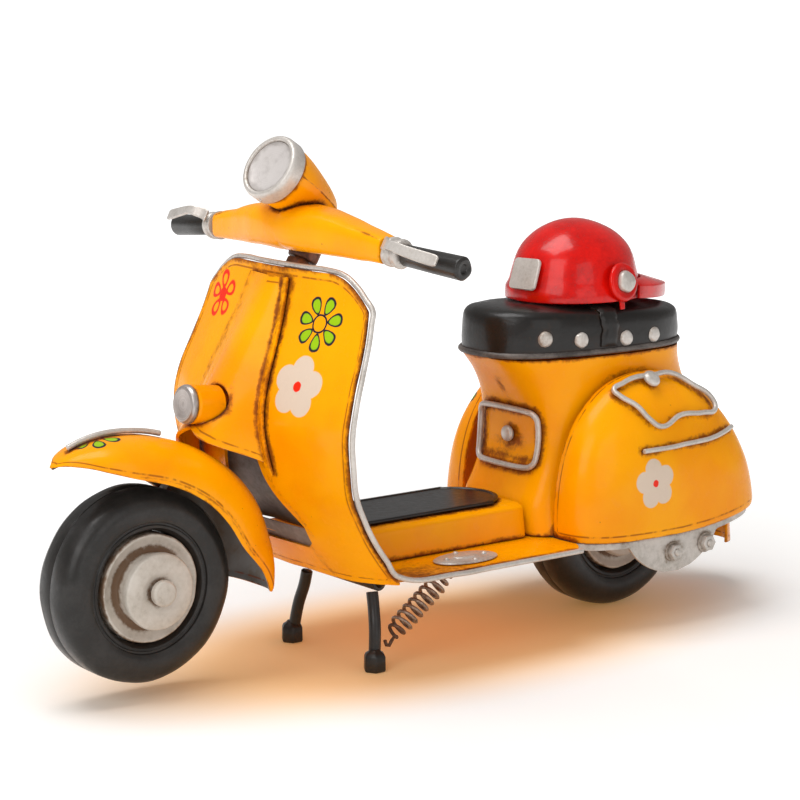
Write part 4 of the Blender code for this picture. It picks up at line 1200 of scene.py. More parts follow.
@dataclass
class Floor:
    """The floorboard, its tunnel and the pads on them."""

    shield: LegShield
    top: float = 32.2
    half_width: float = 39.5
    rear: float = -37.5
    tunnel_top: float = 43.6
    tunnel_half_width: float = 17.0
    tunnel_rear: float = -29.5
    mat_half: float = 14.0
    plate: Table = ((0, 1.15), (3.4, 1.15), (3.9, 0.75), (8.6, 0.6), (9.3, 0.3), (9.4, 0.0), (0, 0))
    rivet: Table = ((0, 1.35), (0.6, 1.2), (1.0, 0.8), (1.1, 0.4), (0, 0.4))

    def build_board(self, palette: Palette) -> None:
        """Flat board with round rear corners."""
        edge = self.half_width
        front = []
        for step in range(17):
            y = -36.5 + 73.0 * step / 16
            front.append((self.shield.face(y, self.top - 1.0) - 2.15, y))
        left = [(30, edge - 1), (24, edge), (-26, edge)]
        for step in range(9):
            turn = math.radians(90 + 90 * step / 8)
            left.append((-30 + 8 * math.cos(turn), edge - 8 + 8 * math.sin(turn)))
        left.append((self.rear, 24))
        outline = front + left + [(x, -y) for x, y in reversed(left)]
        board = Bench.slab("floorboard", outline, 1.0, Matrix.Translation(mm(0, 0, self.top - 0.5)))
        for sign in SIDES.values():
            stain(board, [(40, sign * 18.6, 32.2), (-30, sign * 18.6, 32.2)], 3.0)
        dress(board, palette.paint, "floorboard")

    def build_tunnel(self, palette: Palette) -> None:
        """Raised channel down the middle."""
        foot = self.top + 0.35

        def shape(u: float, v: float) -> Vector:
            turn = abs(u)
            if turn > 0.6:
                rise = (1 - turn) / 0.4
                y = self.tunnel_half_width + 1.2 * (1 - rise)
                z = foot + (self.tunnel_top - 2.2 - foot) * rise
            else:
                lean = turn / 0.6
                y = self.tunnel_half_width * min(1.0, lean * 1.08)
                z = self.tunnel_top - 2.2 * max(0.0, (lean - 0.7) / 0.3) ** 2
            y = math.copysign(y, u)
            front = self.shield.face(y, z) - 1.75
            x = self.tunnel_rear + (v + 1) / 2 * (front - self.tunnel_rear)
            return mm(x, y, z)

        tunnel = Bench.sheet("tunnel", shape, 60, 40, offset=1.0, dents=0.2)
        Bench.mark(tunnel, "rim", [NO_RIM] * len(tunnel.data.vertices))
        dress(tunnel, palette.paint, "tunnel", angle=60)

    def build_mat(self, palette: Palette) -> None:
        """Black mat with a raised rim and a round rear end."""
        half, front, rear = self.mat_half, 46.0, -28.0
        outline = [(front, -half), (front, half), (rear + 8, half)]
        for step in range(13):
            turn = math.radians(112 + 136 * step / 12)
            outline.append((rear + half - 1 + half * math.cos(turn), half * math.sin(turn)))
        outline.append((rear + 8, -half))
        level = Matrix.Translation(mm(0, 0, self.tunnel_top + 0.95))
        mat = Bench.slab("tunnel_mat", outline, 1.1, level, 0.35)
        Bench.pick(mat)

        def sink() -> None:
            bpy.ops.mesh.select_all(action="DESELECT")
            bpy.ops.object.mode_set(mode="OBJECT")
            for face in mat.data.polygons:
                face.select = face.normal.z > 0.95 and face.area > 0.0002
            bpy.ops.object.mode_set(mode="EDIT")
            bpy.ops.mesh.inset(thickness=0.9 * MM)
            bpy.ops.mesh.inset(thickness=0.35 * MM, depth=-0.3 * MM)

        Bench.edit(sink)
        dress(mat, palette.seat, "tunnel_mat")

    def build_foot_plates(self, palette: Palette) -> None:
        """Oval plates with a raised pad and four rivets."""
        for side, sign in SIDES.items():
            middle = mm(4, sign * 29.0, self.top + 0.35)
            squeeze = Matrix.Translation(middle) @ Matrix.Diagonal((1.25, 0.72, 1.0, 1.0))
            parts = [Bench.place(Bench.turned("plate", self.plate, Vector(), Vector((0, 0, 1)), 48),
                                 squeeze)]
            for x, y in ((7.4, 0), (-7.4, 0), (0, 4.9), (0, -4.9)):
                parts.append(Bench.turned("rivet", self.rivet, middle + mm(x, y, 0),
                                          Vector((0, 0, 1)), 16, 0.05))
            name = f"foot_plate_{side}"
            dress(Bench.join(name, parts), palette.silver, name)

    def build(self, palette: Palette) -> None:
        """Build and dress the floor."""
        self.build_board(palette)
        self.build_tunnel(palette)
        self.build_mat(palette)
        self.build_foot_plates(palette)


# --- body and cowls

@dataclass
class BodyShell:
    """The rear body with its glovebox loop, knob and tail flap."""

    front: Table = ((32.6, -30.8), (42, -31.2), (48, -34), (55, -37), (64, -38.4), (74, -37),
                    (83, -31.5), (89.3, -25.5))
    rear: Table = ((32.6, -132.6), (42, -131), (52, -127), (60, -120.5), (68, -113), (76, -106),
                   (83, -102.5), (89.3, -101))
    half_width: Table = ((32.6, 25.5), (40, 23.4), (50, 22.0), (75, 21.6), (83, 22.2),
                         (89.3, 23.2))
    nose: Table = ((32.6, 5.0), (70, 5.0), (82, 3.6), (89.3, 2.9))
    middle_x: float = -70.0
    low: float = 32.7
    high: float = 89.3
    nominal_half_width: float = 22.0
    half_length: float = 135.5

    def ring_point(self, angle: float, z: float) -> Vector:
        """Point of the body's outline at a height."""
        half = read_table(z, self.half_width)
        if math.cos(angle) > 0:
            reach, power = read_table(z, self.front) - self.middle_x, read_table(z, self.nose)
        else:
            reach, power = self.middle_x - read_table(z, self.rear), 3.0
        x, y = superellipse(angle, reach, half, power)
        return mm(self.middle_x + x, y, z)

    def build_shell(self, palette: Palette) -> None:
        """Skin wrapped round and closed at the front by a hand-made seam."""
        def shape(u: float, v: float) -> Vector:
            bend = math.pi * (u + 0.035 * math.sin(4 * math.pi * u))
            return self.ring_point(bend, self.low + (v + 1) / 2 * (self.high - self.low))

        shell = Bench.loft("body_shell", shape, 120, 52, capped=False)
        Bench.mark(shell, "rim", [NO_RIM] * len(shell.data.vertices))
        Bench.hammer(shell, 0.25, 14.0, 3.0)
        Bench.thicken(shell, 1.0, -1.0)
        seam = [(-26.5, -3.6, 88.5), (-29.4, -2.4, 85.6), (-32.5, 0.2, 81.8), (-35.8, 0.5, 76.2),
                (-37.5, 0.2, 72.3), (-38.1, 1.7, 67.2), (-38.3, 0.6, 62.5), (-37.7, -0.1, 58.9),
                (-36.0, -0.9, 53.5), (-33.3, -3.9, 46.2)]
        stain(shell, seam, 1.1, 1.05)
        nose = Vector((-38.0, 0.0, 63.0))
        frame_line = [(nose.x, y, nose.z + h) for y, h in rounded_rectangle(13.2, 7.8, 2.6)]
        stain(shell, frame_line + frame_line[:1], 3.4, 1.0)
        stain(shell, [(nose.x, -6.0, 60.5), (nose.x, 6.0, 60.5)], 5.0, 0.75)
        dress(shell, palette.paint, "body_shell", angle=60)

    def build_glovebox(self, palette: Palette) -> None:
        """Wire loop and knob on the body's nose."""
        points = []
        for y, rise in rounded_rectangle(14.4, 9.0, 3.4, 4):
            z = 62.4 + rise
            reach = read_table(z, self.front) - self.middle_x
            bow = (abs(y) / self.nominal_half_width) ** 5.0
            points.append((self.middle_x + reach * (1 - bow) ** 0.2 + 1.4, y, z))
        dress(Bench.wire("glovebox_frame", points, 0.95, closed=True),
              palette.silver, "glovebox_frame")
        knob = [(0, 2.5), (1.2, 2.35), (2.2, 1.9), (2.7, 1.1), (2.5, 0.3), (1.4, 0.0), (0, 0)]
        button = Bench.turned("glovebox_knob", knob, mm(-37.9, 0, 63.0), Vector((1, 0, 0)), 32)
        dress(button, palette.silver, "glovebox_knob")

    def build_flap(self, palette: Palette) -> None:
        """Splash guard behind the rear wheel."""
        def shape(u: float, v: float) -> Vector:
            fall = (1 - v) / 2
            bow = 1 - u * u
            x = -self.half_length + 12.0 - (9.0 + 3.0 * fall) * bow
            return mm(x, 15.0 * u, 31.8 - 17.0 * fall + 2.0 * u * u * fall)

        dress(Bench.sheet("tail_flap", shape, 28, 18, offset=1.0, dents=0.12),
              palette.paint, "tail_flap")

    def build(self, palette: Palette) -> None:
        """Build and dress the body."""
        self.build_shell(palette)
        self.build_glovebox(palette)
        self.build_flap(palette)


@dataclass
class Cowls:
    """The two side cowls, the engine casings under them and their brightwork."""

    centre_x: float = -77.4
    centre_z: float = 31.4
    reach: float = 40.6
    swell: float = 17.8
    height: float = 51.9
    rim: float = 23.3
    wall: float = 1.2
    inset: float = 1.9
    loop: tuple[tuple[float, float], ...] = (
        (-56.7, 0.688), (-60.5, 0.744), (-65.1, 0.794), (-72, 0.81), (-82, 0.80), (-88.8, 0.681),
        (-96.3, 0.556), (-95.8, 0.506), (-89.3, 0.506), (-78.6, 0.506), (-68.9, 0.45),
        (-64.5, 0.494), (-61.2, 0.575), (-57.1, 0.65))

    @property
    def casing_face(self) -> float:
        """Distance of the casing's outer face from the middle plane."""
        return self.rim + self.swell - self.inset

    def hem(self, x: float) -> float:
        """Height of the cowl's lower edge."""
        along = (x - self.centre_x) / self.reach
        return self.centre_z + 5.0 * max(0.0, -along) ** 1.5 + 1.0 * max(0.0, along) ** 4

    def surface(self, across: float, up: float) -> Vector:
        """Point of the left cowl, in millimetres; across runs 1 to -1, up 0 to 1."""
        tall = math.pi / 2 * up
        upright = 2.0 + 0.35 * ease(across * 2.5 + 0.5)
        shrink = math.cos(tall) ** (2 / upright)
        rise = math.sin(tall) ** (2 / upright)
        cx, cy = superellipse(math.pi / 2 * (1 - across), 1.0, 1.0, 3.5 - 1.2 * up)
        x = self.centre_x + self.reach * cx * shrink + 3.0 * up
        bottom = self.hem(x)
        return Vector((x, self.rim + self.swell * cy * shrink,
                       bottom + (self.centre_z + self.height - bottom) * rise))

    def touch(self, x: float, up: float, clear: float) -> Vector:
        """Point a little clear of the left cowl at a place along it."""
        low, high = -1.0, 1.0
        for _ in range(30):
            middle = (low + high) / 2
            if self.surface(middle, up).x < x:
                low = middle
            else:
                high = middle
        here = self.surface(middle, up)
        ahead = self.surface(min(middle + 0.02, 1.0), up) - here
        above = self.surface(middle, up + 0.01) - here
        normal = above.cross(ahead).normalized()
        if normal.y < 0:
            normal.negate()
        return here + normal * clear

    def both(self, name: str, piece: Piece, coats: dict[str, Coat]) -> None:
        """Dress a left piece and its mirrored twin."""
        twin = Bench.copy(piece, f"{name}_right", MIRROR_Y)
        for side, part in (("left", piece), ("right", twin)):
            dress(part, coats[side], f"{name}_{side}", angle=45)

    def build_skins(self, palette: Palette) -> None:
        """The bulged cowls."""
        def shape(u: float, v: float) -> Vector:
            full = math.copysign(abs(u) ** 0.8, u)
            return self.surface(full, (v + 1) / 2 * 0.985) * MM

        skin = Bench.sheet("side_cowl_left", shape, 72, 56, offset=1.0, dents=0.2, bead=0.35)
        self.both("side_cowl", skin, palette.cowl)

    def build_casings(self, palette: Palette) -> None:
        """The engine casings with their nuts."""
        both = {"left": palette.casing, "right": palette.casing}

        def shape(u: float, v: float) -> Vector:
            cx, cy = superellipse(math.pi / 2 * (1 - 0.9 * u), 1.0, 1.0, 3.5)
            x = self.centre_x + (self.reach - 1.6) * cx
            y = self.casing_face - (self.swell - self.inset) * (1 - cy)
            lobe = max(0.0, 1 - ((x + 75.5) / 19.0) ** 2)
            depth = 2.2 + 10.2 * lobe ** 0.75
            return mm(x, y, self.hem(x) - 0.45 - (1 - v) / 2 * depth)

        casing = Bench.sheet("engine_casing_left", shape, 96, 10, self.wall, 1.0, 0.25)
        self.both("engine_casing", casing, both)
        for place, (x, z) in {"front": (-74.6, 25.4), "rear": (-89.2, 26.4)}.items():
            for side, sign in SIDES.items():
                out = Vector((0, sign, 0))
                base = mm(x, sign * (self.casing_face + 0.1), z)
                nut = Bench.turned("nut", [(2.75, 2.3), (2.75, 0.25), (1.3, 0.25), (1.3, 2.3)],
                                   base, out, 6, 0.22, closed=True)
                stud = Bench.turned("stud", [(0, 3.0), (0.8, 2.9), (1.15, 2.6), (1.15, 0.1),
                                             (0, 0.1)], base, out, 24, 0.05)
                washer = Bench.turned("washer", [(3.3, 0.35), (3.4, 0.0), (1.2, 0.0), (1.2, 0.35)],
                                      base, out, 32, 0.08, closed=True)
                name = f"casing_nut_{side}_{place}"
                dress(Bench.join(name, [nut, stud, washer]), palette.casing, name, angle=25)

    def build_brightwork(self, palette: Palette) -> None:
        """Wire loop with its knob, and the strip below it."""
        both = {"left": palette.silver, "right": palette.silver}
        points = [self.touch(x, up, 1.8) for x, up in self.loop]
        handle = Bench.wire("loop", points, 0.85, closed=True)
        low, high = self.touch(-71.1, 0.775, 0.9), self.touch(-71.1, 0.775, 3.4)
        knob = [(0, 2.6), (1.4, 2.45), (2.4, 2.0), (3.0, 1.3), (3.0, 0.5), (2.2, 0.0), (0, 0)]
        button = Bench.turned("button", knob, low * MM, high - low, 32)
        self.both("cowl_handle", Bench.join("cowl_handle_left", [handle, button]), both)
        strip = [self.touch(-60.8 - 6.1 * step, 0.331 + 0.0085 * step, 1.3) for step in range(8)]
        self.both("cowl_strip", Bench.wire("cowl_strip_left", strip, 0.8), both)

    def build(self, palette: Palette) -> None:
        """Build and dress both sides."""
        self.build_skins(palette)
        self.build_casings(palette)
        self.build_brightwork(palette)


# --- seat and helmet

@dataclass
class Seat:
    """Padded seat with its strap, its piping and its studs."""

    base: float = 90.0
    front: float = -22.5
    rear: float = -102.5
    strap_x: float = -60.5
    half_width: float = 26.0
    power: float = 2.8
    rows: tuple[Point, ...] = (
        (0.3, 2.6, 0.0), (0.1, 1.3, 0.0), (1.6, 1.2, 0.0), (4.5, 1.0, 0.35), (7.6, 1.15, 0.75),
        (10.4, 1.45, 1.0), (12.2, 2.1, 1.25), (13.4, 3.6, 1.5), (14.1, 6.0, 1.6),
        (14.6, 9.5, 1.6), (14.9, 14.0, 1.5), (15.0, 21.0, 1.2))
    studs: tuple[tuple[float, float], ...] = ((-36.9, 5.9), (-49.4, 5.0), (-67.3, 4.5),
                                              (-79.7, 4.7))
    stud: Table = ((0, 1.2), (1.2, 1.1), (2.1, 0.75), (2.55, 0.1), (2.55, -0.5), (0, -0.5))
    stud_inset: float = 1.1

    @property
    def middle(self) -> float:
        """Middle of the seat's length."""
        return (self.front + self.rear) / 2

    @property
    def reach(self) -> float:
        """Half the seat's length."""
        return (self.front - self.rear) / 2

    def row(self, spot: float) -> tuple[float, float, float]:
        """Rise, inset and tilt at a place along the rows."""
        rise, inset, tilt = (read_table(spot, [(i, row[k]) for i, row in enumerate(self.rows)])
                             for k in range(3))
        return rise, inset, tilt

    def ring_point(self, angle: float, rise: float, inset: float, tilt: float) -> Vector:
        """Point of the seat's outline, in millimetres."""
        x, y = superellipse(angle, self.reach - inset, self.half_width - inset, self.power)
        ahead = x / self.reach
        taper = 1.0 - 0.2 * max(0.0, (ahead + 1) / 2) ** 1.5
        return Vector((self.middle + x, y * taper, self.base + rise + tilt * ahead))

    def angle_at(self, x: float, inset: float) -> float:
        """Turn round the outline that reaches a place along the seat."""
        share = (x - self.middle) / (self.reach - inset)
        return math.acos(math.copysign(abs(share) ** (self.power / 2), share))

    def build_cushion(self, palette: Palette) -> None:
        """The cushion and the piping round its foot."""
        def shape(u: float, v: float) -> Vector:
            spot = (v + 1) / 2 * (len(self.rows) - 1)
            bend = math.pi * (u + 0.03 * math.sin(4 * math.pi * u))
            return self.ring_point(bend, *self.row(spot)) * MM

        cushion = Bench.loft("seat", shape, 112, 44)
        Bench.hammer(cushion, 0.3, 9.0, 4.0)
        dress(cushion, palette.seat, "seat", angle=50)
        path = [self.ring_point(math.tau * i / 72, 0.9, 1.0, 0.0) for i in range(72)]
        dress(Bench.wire("seat_piping", path, 0.95, closed=True, steps=3), palette.piping)

    def build_strap(self, palette: Palette) -> None:
        """Strap with rolled edges over the middle of the cushion."""
        last = len(self.rows) - 1
        side = [(spot, self.row(spot)) for spot in (2.0, 3.0, 4.0, 5.0, 6.0, 7.0, 8.0, 9.0, last)]
        path = []
        for _, (rise, inset, tilt) in side:
            spot = self.ring_point(self.angle_at(self.strap_x, inset), rise, inset, tilt)
            path.append((spot.y + 0.45 * (1 - rise / 16), spot.z + 0.35))
        path[0] = (path[0][0], self.base + 2.4)
        path.append((0.0, path[-1][1] + 0.1))
        path += [(-y, z) for y, z in reversed(path[:-1])]
        across = [(i, spot[0]) for i, spot in enumerate(path)]
        height = [(i, spot[1]) for i, spot in enumerate(path)]

        def shape(u: float, v: float) -> Vector:
            spot = (v + 1) / 2 * (len(path) - 1)
            wave = 0.35 * math.sin(2.3 * spot) + 0.2 * math.sin(5.1 * spot + u)
            return mm(self.strap_x + u * 3.5 + wave, read_table(spot, across),
                      read_table(spot, height))

        strap = Bench.sheet("seat_strap", shape, 14, 90, 0.7, -1.0, 0.25, 0.55)
        dress(strap, palette.seat, "seat_strap")

    def build_studs(self, palette: Palette) -> None:
        """Four silver studs on each skirt."""
        studs = []
        for sign in SIDES.values():
            for x, rise in self.studs:
                angle = self.angle_at(x, self.stud_inset)
                here = self.ring_point(angle, rise, self.stud_inset, 0.5)
                ahead = self.ring_point(angle + 0.05, rise, self.stud_inset, 0.5) - here
                out = ahead.cross(Vector((0, 0, 1))).normalized()
                place = Vector((here.x, here.y * sign, here.z)) * MM
                out = Vector((out.x, out.y * sign, 0.05))
                studs.append(Bench.turned("stud", self.stud, place, out, 28, 0.05))
        rough = Bench.join("seat_studs", studs)
        rough.data.update()
        Bench.hammer(rough, 0.22, 1.6, 2.0)
        dress(rough, palette.silver)

    def build(self, palette: Palette) -> None:
        """Build and dress the seat."""
        self.build_cushion(palette)
        self.build_strap(palette)
        self.build_studs(palette)


@dataclass
class Helmet:
    """Riding helmet laid on the seat, its peak to the rear."""

    centre: Point = (-65.0, 0.0, 106.2)
    turn: float = 6.0
    radii: Point = (23.4, 20.6, 25.6)
    wall: float = 1.2
    band: float = 4.3
    peak_height: float = 6.4
    peak_reach: float = 73.0
    disc: Table = ((0, 1.35), (3.6, 1.35), (4.6, 1.5), (5.6, 1.45), (6.2, 1.0), (6.35, 0.4),
                   (6.3, 0.0), (0, 0.0))
    cap: Table = ((0, 3.4), (2.4, 3.3), (3.2, 3.0), (3.5, 2.3), (3.45, 1.2), (0, 1.2))

    @property
    def frame(self) -> Matrix:
        """Where the helmet stands and how it is turned."""
        return (Matrix.Translation(mm(*self.centre))
                @ Matrix.Rotation(math.radians(self.turn), 4, "Z"))

    def spot(self, azimuth: float, height: float, clear: float) -> tuple[Vector, Vector]:
        """Point in metres and outward direction on the dome, before it is turned."""
        a, b, c = self.radii
        level = math.sqrt(1 - (height / c) ** 2)
        turn = math.radians(azimuth)
        local = Vector((a * level * math.cos(turn), b * level * math.sin(turn), height))
        normal = Vector((local.x / a**2, local.y / b**2, local.z / c**2)).normalized()
        return (local + normal * clear) * MM, normal

    def build_dome(self, palette: Palette) -> None:
        """Half an egg with a proud band round its mouth."""
        Bench.clear()
        bpy.ops.mesh.primitive_uv_sphere_add(segments=72, ring_count=40, radius=1)
        dome = Bench.named("helmet_shell")

        def halve() -> None:
            bpy.ops.mesh.bisect(plane_co=(0, 0, 0.001), plane_no=(0, 0, 1), clear_inner=True)

        Bench.edit(halve)
        Bench.place(dome, Matrix.Diagonal((*(Vector(self.radii) * MM), 1.0)))
        for point in dome.data.vertices:
            height = point.co.z / MM
            proud = 0.75 * ease((self.band + 0.35 - height) / 0.7) - 0.25 * ease(
                (height - self.band) / 0.5) * ease((self.band + 2.4 - height) / 1.8)
            level = Vector((point.co.x, point.co.y, 0)).normalized()
            full = ease((height / self.radii[2] - 0.3) / 0.4) * (1 - 0.5 * ease(
                (height / self.radii[2] - 0.85) / 0.15))
            point.co += level * (proud * MM) + Vector((point.co.x, point.co.y, 0)) * (0.06 * full)
        Bench.hammer(dome, 0.28, 12.0, 6.0)
        Bench.thicken(dome, self.wall, -1.0)
        Bench.apply(dome, "BEVEL", width=0.35 * MM, segments=3, limit_method="ANGLE",
                    angle_limit=math.radians(50))
        dress(Bench.place(dome, self.frame), palette.red, "helmet_shell")

    def build_peak(self, palette: Palette) -> None:
        """Peak with its edge turned down."""
        span = math.radians(self.peak_reach)
        level = math.sqrt(1 - (self.peak_height / self.radii[2]) ** 2)

        def shape(u: float, v: float) -> Vector:
            angle = math.pi + u * span
            out = min(1.0, (v + 1) / 1.2)
            skirt = max(0.0, (v - 0.2) / 0.8)
            behind = math.cos(u * span)
            tip = 14.6 * behind ** 0.9 * out
            start = 0.9 + 0.8 * out
            x = (self.radii[0] * level + start + tip) * math.cos(angle)
            y = (self.radii[1] * level + start + tip * 0.2) * math.sin(angle)
            return mm(x, y, self.peak_height - (0.9 + 3.4 * behind) * out - 4.3 * skirt)

        peak = Bench.sheet("helmet_peak", shape, 56, 26, 0.9, 1.0, 0.2, 0.2)
        dress(Bench.place(peak, self.frame), palette.red, "helmet_peak")

    def build_fittings(self, palette: Palette) -> None:
        """Ear discs with silver caps, strap tabs and the badge at the brow."""
        for side, sign in SIDES.items():
            spot, normal = self.spot(sign * 90, 6.0, 1.2)
            ear = Bench.turned(f"helmet_ear_{side}", self.disc, spot, normal, 56)
            Bench.hammer(ear, 0.2, 4.0, 3.0 + sign)
            dress(Bench.place(ear, self.frame), palette.red, f"helmet_ear_{side}")
            boss = Bench.turned(f"helmet_cap_{side}", self.cap, spot, normal, 40)
            Bench.hammer(boss, 0.35, 2.6, 5.0 + sign)
            dress(Bench.place(boss, self.frame), palette.silver)

            def hang(u: float, v: float) -> Vector:
                fall = (1 - v) / 2
                return mm(0.6 + u * (1.3 - 0.3 * fall), sign * (21.9 + 0.5 * fall),
                          1.4 - 3.9 * fall)

            tab = Bench.sheet(f"helmet_tab_{side}", hang, 6, 14, 0.6, sign * 1.0, 0.1)
            dress(Bench.place(tab, self.frame), palette.red)
        spot, normal = self.spot(0, 8.6, 1.3)
        plate = Bench.slab("helmet_badge", rounded_rectangle(5.7, 5.2, 1.5), 1.2,
                           facing(spot, normal), 0.42)
        Bench.hammer(plate, 0.2, 5.0, 1.0)
        dress(Bench.place(plate, self.frame), palette.silver, "helmet_badge")

    def build(self, palette: Palette) -> None:
        """Build and dress the helmet."""
        self.build_dome(palette)
        self.build_peak(palette)
        self.build_fittings(palette)


# --- wheels and stand

@dataclass
class Wheel:
    """Moulded tyre on a stepped hub."""

    name: str
    body: Body
    axle: Point
    hub_face: float
    tyre: Table = ((29.0, 0.0), (29.2, 0.35), (29.15, 2.8), (29.0, 5.4), (28.0, 7.4), (26.4, 8.8),
                   (24.0, 9.4), (21.8, 9.3), (20.3, 8.95), (19.8, 8.7), (19.55, 8.2), (19.1, 8.2),
                   (18.8, 8.55), (18.0, 8.35), (17.3, 7.5), (16.85, 6.0), (16.75, 3.0))

    def build(self, palette: Palette) -> None:
        """Build and dress the tyre and the rim."""
        centre = mm(*self.axle)
        axis = Vector((0, 1, 0))
        far_side = [(radius, -height) for radius, height in reversed(self.tyre[1:])]
        section = list(self.tyre) + far_side
        tyre = Bench.turned(f"{self.name}_tyre", section, centre, axis, 96, 0.0, closed=True)
        Bench.hammer(tyre, 0.3, 9.0, 2.0)
        dress(tyre, palette.tyre, f"{self.name}_tyre", body=self.body, angle=32)
        face = self.hub_face
        rim = [(2.3, face - 0.9), (3.9, face - 0.75), (5.4, face - 0.25), (6.6, face),
               (10.7, face), (11.3, face - 0.3), (11.55, face - 0.9), (11.5, face - 2.7),
               (10.7, face - 3.2), (10.9, 7.5), (12.4, 7.2), (14.4, 7.9), (15.7, 8.7), (16.3, 8.3),
               (16.4, -8.2), (14.2, -7.8), (11.0, -6.4), (6.0, -9.4), (2.3, -9.4)]
        hub = Bench.turned(f"{self.name}_rim", rim, centre, axis, 80, 0.15, closed=True)
        Bench.hammer(hub, 0.28, 6.0, 7.0)
        # Dark rings in the hub's steps, round the raised disc, the axle boss and the bead: grime,
        # and painted shade in the recesses beside the steps.
        for radius, level, reach, strength in ((11.6, 7.4, 2.9, 1.3), (4.2, face - 0.6, 1.5, 1.0),
                                               (16.3, 8.2, 1.2, 0.9)):
            ring = []
            for step in range(25):
                turn = math.tau * step / 24
                ring.append((self.axle[0] + radius * math.cos(turn), self.axle[1] + level,
                             self.axle[2] + radius * math.sin(turn)))
            stain(hub, ring, reach, strength)
        dress(hub, palette.hub, f"{self.name}_rim", body=self.body)


@dataclass
class Stand:
    """Centre stand, its pivot, the rear axle and the spring that pulls it up."""

    pivot: Point = (31.0, 0.0, 27.0)
    ear: float = 22.6
    rise: float = 30.85
    foot: Point = (34.0, 22.0, 0.0)
    spring_low: Point = (28.6, 20.8, 8.6)
    spring_high: Point = (0.5, 20.8, 29.6)
    rear_axle: Point = (-79.0, 0.0, 29.5)
    casing_reach: float = 37.65
    block: Table = ((0, 0), (3.3, 0), (3.75, 0.5), (3.65, 4.8), (3.2, 5.7), (2.2, 6.3), (1.7, 7.0),
                    (0, 7.0))
    coils: int = 11
    per_coil: int = 14
    coil_radius: float = 3.0

    def build_frame(self, palette: Palette) -> None:
        """Bent pivot bar and the sleeve that turns on it."""
        x, _, z = self.pivot
        bend = [(x, -self.ear, self.rise), (x, -self.ear, z + 1.2), (x, -self.ear + 0.5, z + 0.3),
                (x, -self.ear + 1.4, z), (x, 0, z), (x, self.ear - 1.4, z),
                (x, self.ear - 0.5, z + 0.3), (x, self.ear, z + 1.2), (x, self.ear, self.rise)]
        dress(Bench.wire("stand_pivot", bend, 1.0), palette.black, "stand_pivot")
        sleeve = [(2.4, 20.6), (2.4, -20.6), (1.3, -20.6), (1.3, 20.6)]
        tube = Bench.turned("stand_tube", sleeve, mm(*self.pivot), Vector((0, 1, 0)), 40, 0.2,
                            closed=True)
        dress(tube, palette.black, "stand_tube", body=Body.STAND)

    def build_legs(self, palette: Palette) -> None:
        """Bent legs that end in hexagonal feet."""
        x, _, z = self.pivot
        for side, sign in SIDES.items():
            foot_x, foot_y, _ = self.foot
            path = [(x + 0.4, sign * 17.2, z - 3.2), (x + 0.7, sign * 18.4, z - 8.0),
                    (x + 1.6, sign * 20.2, 13.0), (foot_x - 0.3, sign * (foot_y - 0.5), 4.5)]
            leg = Bench.wire("leg", path, 1.9)
            ground = mm(foot_x, sign * foot_y, 0)
            block = Bench.turned("foot", self.block, ground, Vector((0, 0, 1)), 6, 0.35)
            name = f"stand_leg_{side}"
            whole = Bench.join(name, [leg, block])
            dress(whole, palette.black, name, body=Body.STAND)

    def build_spring(self, palette: Palette) -> None:
        """Tapered coil with a hook at each end."""
        low, high = Vector(self.spring_low), Vector(self.spring_high)
        axis = (high - low).normalized()
        side = Vector((0, 1, 0))
        over = axis.cross(side)
        first, last = low + axis * 2.6, high - axis * 3.2
        points = [low - axis * 0.4 - over * 0.4, low - axis * 0.9 + over * 1.2,
                  low - axis * 0.2 + over * 2.1, low + axis * 1.2 + over * 1.6]
        for step in range(self.coils * self.per_coil + 1):
            share = step / (self.coils * self.per_coil)
            angle = math.tau * step / self.per_coil
            taper = min(1.0, 0.55 + 3.0 * share) * min(1.0, 0.42 + 2.2 * (1 - share))
            radius = self.coil_radius * taper
            points.append(first.lerp(last, share)
                          + (side * math.cos(angle) + over * math.sin(angle)) * radius)
        points += [high - axis * 1.8, high - axis * 0.6, high]
        coil = Bench.wire("stand_spring", points, 0.58, steps=1)
        soot = Bench.read(coil, "wash")
        for index, point in enumerate(coil.data.vertices):
            away = (point.co / MM - low).dot(axis)
            soot[index] = max(soot[index], 1.0 - max(0.0, away - 5.0) / 4.0)
        Bench.mark(coil, "wash", soot)
        dress(coil, palette.rust, "stand_spring", body=None)
        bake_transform(coil)

    def build(self, palette: Palette) -> None:
        """Build and dress the stand and the rear axle."""
        self.build_frame(palette)
        self.build_legs(palette)
        self.build_spring(palette)
        x, _, z = self.rear_axle
        reach = self.casing_reach
        axle = Bench.rod("rear_axle", mm(x, -reach, z), mm(x, reach, z), 2.0)
        dress(axle, palette.silver, "rear_axle")


# --- steering group

